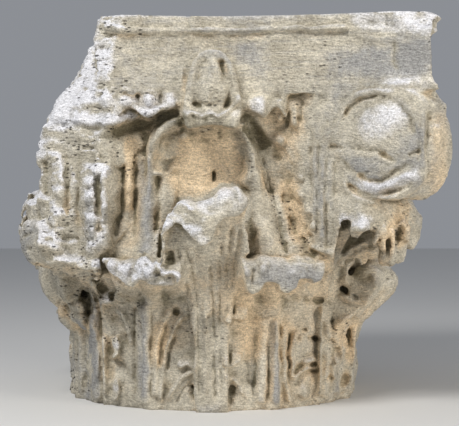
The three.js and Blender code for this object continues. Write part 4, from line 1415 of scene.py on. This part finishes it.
class Carving:
    """The stone while it is worked: its mesh in millimetres and what is known of each vertex."""

    def __init__(self, mesh: bpy.types.Mesh) -> None:
        """Take over a closed mesh.

        Args:
            mesh: The rough block, in millimetres.
        """
        self.mesh = mesh

    def remesh(self, voxel: float) -> None:
        """Rebuild the mesh from voxels, which joins whatever overlaps."""
        obj = linked(bpy.data.objects.new("work", self.mesh))
        tool = obj.modifiers.new("voxels", "REMESH")
        tool.mode = "VOXEL"
        tool.voxel_size = voxel
        self.mesh = settle(obj)
        discard(obj)

    def cut(self, cutter: bpy.types.Object) -> None:
        """Take the space of a cutter away."""
        obj = combined(bpy.data.objects.new("work", self.mesh), Join.DIFFERENCE, cutter)
        self.mesh = obj.data
        bpy.data.objects.remove(obj)

    def edges(self) -> Array:
        """The two ends of every edge."""
        flat = np.empty(len(self.mesh.edges) * 2, np.int32)
        self.mesh.edges.foreach_get("vertices", flat)
        return flat.reshape(-1, 2)

    def spread(self, values: Array, rounds: int) -> Array:
        """Average values over neighbours, a number of times."""
        ends = self.edges()
        a, b = ends[:, 0], ends[:, 1]
        n = len(self.mesh.vertices)
        count = np.bincount(a, minlength=n) + np.bincount(b, minlength=n)
        table = values.reshape(n, -1)
        for _ in range(rounds):
            sums = [
                np.bincount(a, table[b, i], n) + np.bincount(b, table[a, i], n) for i in range(table.shape[1])
            ]
            table = 0.5 * table + 0.5 * np.stack(sums, axis=1) / np.maximum(count, 1)[:, None]
        return table.reshape(values.shape)

    def soften(self, rounds: int, keep: Array | None = None) -> None:
        """Round the arrises off."""
        places = coordinates(self.mesh)
        soft = self.spread(places, rounds)
        if keep is not None:
            soft = mix(soft, places, keep[:, None])
        move_to(self.mesh, soft)

    def seen(self, places: Array) -> tuple[Array, Array, Array]:
        """Across and up the front as seen from the standpoint, and how far each is the first thing seen."""
        k = 1 / (1 + places[:, 1] / STANDPOINT)
        x, z = places[:, 0] * k, EYE_HEIGHT + (places[:, 2] - EYE_HEIGHT) * k
        step, side, below, above = 3.0, 380, 60, 640
        columns, rows = int(2 * side / step), int((below + above) / step)
        i = np.clip(((x + side) / step).astype(int), 1, columns - 2)
        j = np.clip(((z + below) / step).astype(int), 1, rows - 2)
        nearest = np.full((columns, rows), 1e9)
        np.minimum.at(nearest, (i, j), places[:, 1])
        grown = nearest.copy()
        for di in (-1, 0, 1):
            for dj in (-1, 0, 1):
                grown = np.minimum(grown, np.roll(nearest, (di, dj), (0, 1)))
        behind = places[:, 1] - grown[i, j]
        return x, z, 1 - smooth(9, 22, behind)

    def worked(self, strokes: Sequence[Stroke]) -> Array:
        """How far the strokes move each vertex out."""
        places = coordinates(self.mesh)
        x, z, first = self.seen(places)
        front = first * smooth(-0.05, 0.35, -normals_of(self.mesh)[:, 1])
        x = x + WANDER * NOISE.at(places, 16, 3.1)
        z = z + WANDER * NOISE.at(places, 16, 9.4)
        worn = 1 + UNEVEN * NOISE.at(places, 21, 5.6)
        move = np.zeros(len(x))
        for stroke in strokes:
            points = np.array(stroke.path, float)
            low, high = points.min(axis=0) - stroke.width - 3, points.max(axis=0) + stroke.width + 3
            near = (x > low[0]) & (x < high[0]) & (z > low[1]) & (z < high[1]) & (front > 0.01)
            move[near] += stroke.effect(x[near], z[near])
        return np.where(move > 0, RAISED, SUNK) * move * front * worn

    def carve(self, strokes: Sequence[Stroke]) -> None:
        """Work the strokes into the front."""
        places = coordinates(self.mesh)
        places[:, 1] -= self.worked(strokes)
        move_to(self.mesh, places)


@dataclass(frozen=True)
class Weathering:
    """The roughness that weather gave the surface, in millimetres."""

    broad: float = 1.6
    fine: float = 0.8
    grain: float = 0.6
    pit: float = 2.2
    fracture: float = 3.5

    def apply(self, stone: Carving, lost: Array) -> None:
        """Roughen the stone along its normals.

        Args:
            stone: The stone to work on.
            lost: How far each vertex lies inside the lost stone; 0 on a broken face.
        """
        places = coordinates(stone.mesh)
        broken = smooth(-4, -1, lost)
        abacus = smooth(ABACUS_BOTTOM + 4, ABACUS_BOTTOM + 14, places[:, 2]) * (1 - broken)
        calm = 1 - 0.72 * abacus
        left = smooth(-60, -140, places[:, 0])
        move = self.broad * calm * NOISE.at(places, 31)
        move += self.fine * calm * NOISE.rough(places, 13, 2, 3.3)
        move += self.grain * NOISE.rough(places, 5.5, 2, 7.1)
        bedded = places * np.array([0.6, 0.6, 1.5])
        holes = smooth(0.4, 0.72, NOISE.at(bedded, 7.0, 2.2))
        crowd = smooth(0.1, 0.7, NOISE.at(places, 60, 9.0) + 0.4 * left)
        move -= self.pit * holes * (0.25 + crowd) * (1 - 0.8 * abacus)
        ridged = 1 - np.abs(NOISE.at(places, 34, 1.7))
        move += broken * self.fracture * (ridged - 0.7)
        move += broken * 1.6 * NOISE.rough(bedded, 9, 3, 4.4)
        stretched = places * np.array([0.12, 0.12, 1.0])
        move += abacus * 0.9 * NOISE.rough(stretched, 7, 3, 6.0)
        normals = normals_of(stone.mesh)
        bed = np.minimum(places[:, 2], HEIGHT - places[:, 2]) < 0.05
        normals[bed, 2] = 0
        move_to(stone.mesh, places + normals * move[:, None])


@dataclass(frozen=True)
class PatinaAndPaintedLight:
    """Where sun, rain, shelter and dirt left their tones on the surface, with painted shade in the hollows,
    painted warm bounce light and painted top light.
    """

    directions: int = 60

    def openness(self, stone: Carving) -> tuple[Array, Array]:
        """Share of the upper and of the whole sky that each vertex sees.

        Args:
            stone: The stone to look at.

        Returns:
            The share of the upper half and of all directions that are open.
        """
        places, normals = coordinates(stone.mesh), normals_of(stone.mesh)
        upper, upper_all = np.zeros(len(places)), np.zeros(len(places))
        every, every_all = np.zeros(len(places)), np.zeros(len(places))
        golden = math.pi * (3 - math.sqrt(5))
        step, reach = 5.0, 560
        cells = int(2 * reach / step) + 2
        for index in range(self.directions):
            up = 1 - 1.7 * (index + 0.5) / self.directions
            flat = math.sqrt(max(0.0, 1 - up * up))
            aim = Vector((flat * math.cos(golden * index), flat * math.sin(golden * index), up))
            turn = np.array(aim.to_track_quat("Z", "Y").to_matrix())
            local = (places - (0, 0, HEIGHT / 2)) @ turn
            i = ((local[:, 0] + reach) / step).astype(int)
            j = ((local[:, 1] + reach) / step).astype(int)
            top = np.full((cells, cells), -1e9)
            np.maximum.at(top, (i, j), local[:, 2])
            facing = np.clip(normals @ np.array(aim), 0, 1)
            lit = facing * (1 - smooth(6, 14, top[i, j] - local[:, 2]))
            every += lit
            every_all += facing
            if up > 0.1:
                upper += lit
                upper_all += facing
        return upper / np.maximum(upper_all, 1e-3), every / np.maximum(every_all, 1e-3)

    def apply(self, stone: Carving, lost: Array, stains: Sequence[Stain]) -> None:
        """Write the tones, with their painted shade and painted light, and the marks to the mesh as
        attributes.

        Args:
            stone: The finished stone, in millimetres.
            lost: How far each vertex lies inside the lost stone.
            stains: Patches that were listed.
        """
        places, normals = coordinates(stone.mesh), normals_of(stone.mesh)
        sky, every = self.openness(stone)
        sky, every = stone.spread(sky, 3), stone.spread(every, 3)
        relief = np.sum((places - stone.spread(places, 8)) * normals, axis=1)
        broken = smooth(-5, -1, lost)
        up = normals[:, 2]
        cloud = 0.5 + 0.5 * NOISE.rough(places, 55, 3, 8.0)
        tone = np.zeros((len(places), 4))
        # Bleached: rain-bleached and broken faces, lighter where they face up to the sky, which also paints
        # the light from above.
        tone[:, 0] = np.clip(0.45 * broken * smooth(-0.3, 0.5, up) + 0.5 * smooth(0.25, 0.9, up) * sky, 0, 1)
        tone[:, 0] += 0.12 * smooth(0.3, 1.1, relief)
        # Ochre: warm tone where the stone is sheltered, and painted warm bounce light on faces that look
        # down.
        tone[:, 1] = 0.5 * (1 - smooth(0.35, 0.8, sky)) * cloud * 1.3 + 0.2 * smooth(-0.1, -0.7, up)
        tone[:, 2] = 0.75 * smooth(0.5, 0.95, sky) * cloud * (1 - 0.5 * broken)
        # Olive: painted shade where little of the sky is open and in concave places, with dirt.
        tone[:, 3] = 0.7 * (1 - smooth(0.1, 0.45, every)) + 0.4 * smooth(0.5, 2.2, -relief)
        # Painted warm bounce light: warmer low down and towards the right.
        tone[:, 1] += 0.22 * smooth(280, 60, places[:, 2]) * smooth(-160, 120, places[:, 0])
        # Grooves of the fine strokes darker, as painted shade and dirt; raised strokes lighter.
        worked = stone.worked([stroke for stroke in FRONT if stroke.width < FINE_STROKE])
        tone[:, 3] += 0.16 * smooth(1.0, 7.0, -worked)
        tone[:, 0] += 0.08 * smooth(2.0, 8.0, worked)
        x, z, first = stone.seen(places)
        front = first * smooth(-0.2, 0.2, -normals[:, 1])
        for stain in stains:
            tone[:, stain.tone.value] += front * stain.effect(x, z)
        marks = np.zeros((len(places), 4))
        marks[:, 0] = broken
        marks[:, 1] = smooth(ABACUS_BOTTOM + 4, ABACUS_BOTTOM + 12, places[:, 2]) * (1 - broken)
        marks[:, 2] = smooth(0.1, 0.7, NOISE.at(places, 60, 9.0) + 0.5 * smooth(-60, -140, places[:, 0]))
        marks[:, 3] = smooth(-0.8, 1.0, relief)
        LOG.info("tones %s", np.round(np.percentile(tone, (10, 50, 90), axis=0), 2).tolist())
        for name, table in (("tones", tone), ("marks", marks)):
            layer = stone.mesh.attributes.new(name, "FLOAT_COLOR", "POINT")
            layer.data.foreach_set("color", np.clip(table, 0, 1).astype(np.float32).ravel())


class Nodes:
    """A short way to write down a node tree."""

    def __init__(self, tree: bpy.types.NodeTree) -> None:
        """Work on a tree.

        Args:
            tree: The node tree to fill.
        """
        self.tree = tree

    def node(self, kind: str, inputs: dict | None = None, **settings: object) -> bpy.types.Node:
        """Add a node.

        Args:
            kind: Its type.
            inputs: Values or sockets for its inputs, by name or number.
            settings: Its own settings.

        Returns:
            The node.
        """
        made = self.tree.nodes.new(kind)
        for name, value in settings.items():
            setattr(made, name, value)
        for key, value in (inputs or {}).items():
            socket = made.inputs[key]
            if isinstance(value, bpy.types.NodeSocket):
                self.tree.links.new(value, socket)
            else:
                socket.default_value = value
        return made

    def math(self, operation: str, a: object, b: object = 0.0, clamp: bool = False) -> bpy.types.NodeSocket:
        """Work out a number."""
        made = self.node("ShaderNodeMath", {0: a, 1: b}, operation=operation)
        made.use_clamp = clamp
        return made.outputs[0]

    def blend(self, share: object, a: object, b: object, way: str = "MIX") -> bpy.types.NodeSocket:
        """Mix two colours."""
        made = self.node("ShaderNodeMix", data_type="RGBA", blend_type=way)
        for index, value in ((0, share), (6, a), (7, b)):
            if isinstance(value, bpy.types.NodeSocket):
                self.tree.links.new(value, made.inputs[index])
            else:
                made.inputs[index].default_value = value
        return made.outputs[2]

    def noise(
        self, where: object, scale: float, detail: float = 3.0, rough: float = 0.55
    ) -> bpy.types.NodeSocket:
        """Read noise as a number from 0 to 1."""
        return self.node(
            "ShaderNodeTexNoise", {"Vector": where, "Scale": scale, "Detail": detail, "Roughness": rough}
        ).outputs["Fac"]

    def ease(
        self, value: object, low: float, high: float, to_low: float = 0.0, to_high: float = 1.0
    ) -> bpy.types.NodeSocket:
        """Map a number from low..high, eased, to another range."""
        made = self.node(
            "ShaderNodeMapRange",
            {"Value": value, "From Min": low, "From Max": high, "To Min": to_low, "To Max": to_high},
            interpolation_type="SMOOTHSTEP",
        )
        return made.outputs["Result"]


Colour = tuple[float, float, float, float]


@dataclass(frozen=True)
class StoneFinishAndPaintedLight:
    """Weathered limestone: warm grey body, bleached tops with painted top light, ochre shelter with painted
    warm bounce light, olive dirt with painted shade in the depths.
    """

    body: Colour = (0.47, 0.43, 0.345, 1)
    body_light: Colour = (0.68, 0.63, 0.52, 1)
    bleached_and_top_light: Colour = (0.86, 0.86, 0.90, 1)
    ochre_and_warm_bounce: Colour = (0.80, 0.64, 0.44, 1)
    grey: Colour = (0.36, 0.36, 0.36, 1)
    olive_shade_and_dirt: Colour = (0.16, 0.14, 0.08, 1)
    hole: Colour = (0.035, 0.032, 0.028, 1)
    roughness: float = 0.92

    def material(self) -> bpy.types.Material:
        """Make the material."""
        made = bpy.data.materials.new("weathered stone with painted light")
        made.use_nodes = True
        made.node_tree.nodes.clear()
        n = Nodes(made.node_tree)
        where = n.node("ShaderNodeTexCoord").outputs["Object"]
        tones = n.node("ShaderNodeAttribute", attribute_name="tones")
        marks = n.node("ShaderNodeAttribute", attribute_name="marks")
        tone = n.node("ShaderNodeSeparateColor", {"Color": tones.outputs["Color"]}).outputs
        mark = n.node("ShaderNodeSeparateColor", {"Color": marks.outputs["Color"]}).outputs
        olive_shade_and_dirt = tones.outputs["Alpha"]

        broad = n.noise(where, 26, 4)
        patch = n.noise(where, 90, 5, 0.65)
        grain = n.noise(where, 420, 4, 0.7)
        flat = n.node("ShaderNodeMapping", {"Vector": where, "Scale": (14.0, 14.0, 230.0)})
        streaks = n.noise(flat.outputs[0], 1.0, 4, 0.6)
        base = n.blend(n.ease(broad, 0.35, 0.65), self.body, self.body_light)
        base = n.blend(n.math("MULTIPLY", n.ease(patch, 0.4, 0.7), 0.35), base, self.body_light)
        # Ochre: sheltered stone, partly painted warm bounce light.
        ochre_and_warm_bounce = n.math("ADD", tone[1], n.math("MULTIPLY", n.math("SUBTRACT", patch, 0.5), 0.5))
        base = n.blend(n.ease(ochre_and_warm_bounce, 0.1, 0.8), base, self.ochre_and_warm_bounce)
        grey = n.math("ADD", tone[2], n.math("MULTIPLY", n.math("SUBTRACT", patch, 0.5), 0.9))
        base = n.blend(n.ease(grey, 0.2, 0.9, 0, 0.85), base, self.grey)
        # Bleached: rain-bleached tops, partly painted light from above.
        pale = n.math("ADD", tone[0], n.math("MULTIPLY", n.math("SUBTRACT", grain, 0.5), 0.5))
        base = n.blend(n.ease(pale, 0.15, 0.85, 0, 0.95), base, self.bleached_and_top_light)
        # Olive: painted shade in hollows and under ledges, with dirt.
        deep = n.math("ADD", olive_shade_and_dirt, n.math("MULTIPLY", n.math("SUBTRACT", patch, 0.5), 0.4))
        base = n.blend(n.ease(deep, 0.1, 0.9, 0, 0.85), base, self.olive_shade_and_dirt)
        line = n.math("MULTIPLY", n.ease(streaks, 0.3, 0.5, 1, 0), mark[1])
        base = n.blend(n.math("MULTIPLY", line, 0.35), base, self.grey)
        flat = n.node("ShaderNodeMapping", {"Vector": where, "Scale": (150.0, 150.0, 430.0)})
        layers = n.noise(flat.outputs[0], 1.0, 3, 0.6)
        shade = n.math(
            "MULTIPLY", n.ease(grain, 0.36, 0.64, 0.78, 1.16), n.ease(layers, 0.33, 0.67, 0.78, 1.14)
        )
        tint = n.node("ShaderNodeCombineColor", {0: shade, 1: shade, 2: shade}).outputs[0]
        base = n.blend(1.0, base, tint, "MULTIPLY")

        bedded = n.node("ShaderNodeMapping", {"Vector": where, "Scale": (95.0, 95.0, 210.0)}).outputs[0]
        cells = n.node(
            "ShaderNodeTexVoronoi", {"Vector": bedded, "Scale": 1.0, "Randomness": 1.0}, feature="F1"
        ).outputs["Distance"]
        some = n.ease(n.noise(where, 60, 3), 0.46, 0.58)
        crowd = n.math("ADD", n.math("MULTIPLY", mark[2], 0.8), 0.2)
        holes = n.math("MULTIPLY", n.ease(cells, 0.14, 0.34, 1, 0), n.math("MULTIPLY", some, crowd))
        base = n.blend(n.math("MULTIPLY", holes, 0.85), base, self.hole)

        height = n.math("ADD", n.math("MULTIPLY", grain, 1.2), n.math("MULTIPLY", patch, 1.6))
        height = n.math("ADD", height, n.math("MULTIPLY", layers, 1.6))
        height = n.math("ADD", height, n.math("MULTIPLY", streaks, n.math("MULTIPLY", mark[1], 1.4)))
        height = n.math("SUBTRACT", height, n.math("MULTIPLY", holes, 2.2))
        bump = n.node("ShaderNodeBump", {"Height": height, "Distance": 0.002, "Strength": 0.9})
        shader = n.node(
            "ShaderNodeBsdfPrincipled",
            {
                "Base Color": base,
                "Roughness": self.roughness,
                "Normal": bump.outputs[0],
                "Specular IOR Level": 0.25,
            },
        )
        n.node("ShaderNodeOutputMaterial", {"Surface": shader.outputs[0]})
        return made


@dataclass(frozen=True)
class Capital:
    """The whole capital as one stone."""

    voxel: float = 2.4
    quick_voxel: float = 5.0
    faces: int = 196_000
    quick_faces: int = 60_000

    def side(self, index: int) -> list[bpy.types.Mesh]:
        """Carve one side on the front and turn it to its place; the left corners have no volute."""
        parts = [*Flower().build(), CornerWeb().build()]
        if index < 2:
            parts.append(Volute().build())
        for mirror in (1, -1):
            broken = index == 0 and mirror > 0
            parts.append((broken_stalk if broken else whole_stalk)(mirror).build())
            parts.append(Canopy(mirror, 104 if broken else 136).build())
            parts.append(Fan(mirror).build())
        for part in parts:
            part.transform(Matrix.Rotation(index * QUARTER, 4, "Z"))
        return parts

    def block(self) -> Carving:
        """Join all forms into one rough stone and break it."""
        parts = [BELL.build(), ABACUS.build(), HornPoint().build()]
        for row in (Row.LOWER, Row.UPPER):
            parts.extend(LeafRow(row).build())
        for index in range(4):
            parts.extend(self.side(index))
        parts.extend(apron.build() for apron in APRONS)
        bm = bmesh.new()
        for part in parts:
            bm.from_mesh(part)
            bpy.data.meshes.remove(part)
        stone = Carving(to_mesh(bm, "stone"))
        stone.remesh(self.voxel)
        LOG.info("forms joined: %d vertices", len(stone.mesh.vertices))
        stone.cut(LeftBreak().cutter())
        for chip in HORN_CHIPS:
            stone.cut(chip.cutter())
        LOG.info("broken: %d vertices", len(stone.mesh.vertices))
        return stone

    def lost(self, places: Array) -> Array:
        """How far each place lies inside the lost stone."""
        gone = LeftBreak().beyond(places)
        for chip in HORN_CHIPS:
            gone = np.maximum(gone, chip.beyond(places))
        return gone

    def thin(self, stone: Carving) -> None:
        """Bring the number of faces down, and keep the front finest."""
        places = coordinates(stone.mesh)
        obj = linked(bpy.data.objects.new("work", stone.mesh))
        group = obj.vertex_groups.new(name="front")
        _, _, first = stone.seen(places)
        weight = np.round(np.clip(first * 0.6 + 0.2 + 0.2 * smooth(100, -200, places[:, 1]), 0, 1), 1)
        for value in np.unique(weight):
            group.add(np.flatnonzero(weight == value).tolist(), float(value), "REPLACE")
        tool = obj.modifiers.new("thin", "DECIMATE")
        tool.ratio = self.faces / (2 * len(stone.mesh.polygons))
        tool.vertex_group = "front"
        tool.vertex_group_factor = 0.6
        stone.mesh = settle(obj)
        discard(obj)

    def build(self) -> bpy.types.Object:
        """Make the finished stone."""
        stone = self.block()
        stone.remesh(self.voxel * 0.9)
        stone.soften(1)
        stone.carve(FRONT)
        stone.remesh(self.voxel * 0.9)
        stone.cut(bed(HEIGHT, 1))
        stone.cut(bed(0, -1))
        LOG.info("carved: %d vertices", len(stone.mesh.vertices))
        Weathering().apply(stone, self.lost(coordinates(stone.mesh)))
        self.thin(stone)
        LOG.info("thinned: %d faces", len(stone.mesh.polygons))
        PatinaAndPaintedLight().apply(stone, self.lost(coordinates(stone.mesh)), STAINS)
        places = coordinates(stone.mesh)
        places[:, 2] = np.clip(places[:, 2], 0, HEIGHT)
        move_to(stone.mesh, places * MM)
        stone.mesh.name = "capital_stone"
        stone.mesh.polygons.foreach_set("use_smooth", np.ones(len(stone.mesh.polygons), bool))
        stone.mesh.materials.clear()
        stone.mesh.materials.append(StoneFinishAndPaintedLight().material())
        return linked(bpy.data.objects.new("capital_stone", stone.mesh))


HORN_CHIPS = (Chip((250, -316, 552), (90, 26, 24)), Chip((332, -304, 562), (50, 50, 34)))


@dataclass(frozen=True)
class Studio:
    """A pale floor, soft light and the camera."""

    lens: float = 110.2
    shift: tuple[float, float] = (0.0381, -0.0349)

    def floor(self) -> bpy.types.Object:
        """Make the pale floor."""
        bm = bmesh.new()
        bmesh.ops.create_grid(bm, x_segments=1, y_segments=1, size=6.0)
        floor = linked(bpy.data.objects.new("floor", to_mesh(bm, "floor")))
        material = bpy.data.materials.new("pale floor")
        material.use_nodes = True
        shader = material.node_tree.nodes["Principled BSDF"]
        shader.inputs["Base Color"].default_value = (0.72, 0.72, 0.71, 1)
        shader.inputs["Roughness"].default_value = 0.9
        floor.data.materials.append(material)
        return floor

    def camera(self) -> bpy.types.Object:
        """Stand the camera at the standpoint."""
        data = bpy.data.cameras.new("camera")
        data.lens = self.lens
        data.sensor_width = 36.0
        data.shift_x, data.shift_y = self.shift
        camera = linked(bpy.data.objects.new("camera", data))
        camera.location = (0, -STANDPOINT * MM, EYE_HEIGHT * MM)
        camera.rotation_euler = (math.pi / 2, 0, 0)
        bpy.context.scene.camera = camera
        return camera

    def lamp(
        self, name: str, place: tuple[float, float, float], size: float, power: float, tint: Colour
    ) -> None:
        """Hang a soft lamp that looks at the middle of the capital."""
        data = bpy.data.lights.new(name, "AREA")
        data.size = size
        data.energy = power
        data.color = tint[:3]
        lamp = linked(bpy.data.objects.new(name, data))
        lamp.location = place
        lamp.rotation_euler = (Vector((0, 0, 0.28)) - Vector(place)).to_track_quat("-Z", "Y").to_euler()

    def build(self) -> None:
        """Set the studio up."""
        self.floor()
        self.camera()
        self.lamp("key", (-0.9, -1.8, 2.0), 0.8, 52.0, (1.0, 0.985, 0.96, 1))
        self.lamp("fill", (2.0, -1.7, 0.5), 1.1, 34.0, (1.0, 0.94, 0.85, 1))
        world = bpy.data.worlds.new("studio")
        world.use_nodes = True
        background = world.node_tree.nodes["Background"]
        background.inputs["Color"].default_value = (0.88, 0.92, 1.0, 1)
        background.inputs["Strength"].default_value = 0.3
        bpy.context.scene.world = world
        bpy.context.scene.view_settings.view_transform = "Standard"


def main() -> None:
    """Build the capital and its studio."""
    logging.basicConfig(level=logging.INFO, format="%(name)s: %(message)s")
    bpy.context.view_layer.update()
    stone = Capital().build()
    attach(stone, "root")
    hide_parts("capital")
    LOG.info("capital stone finished")
    Studio().build()
    LOG.info("studio ready")


if __name__ == "__main__":
    main()
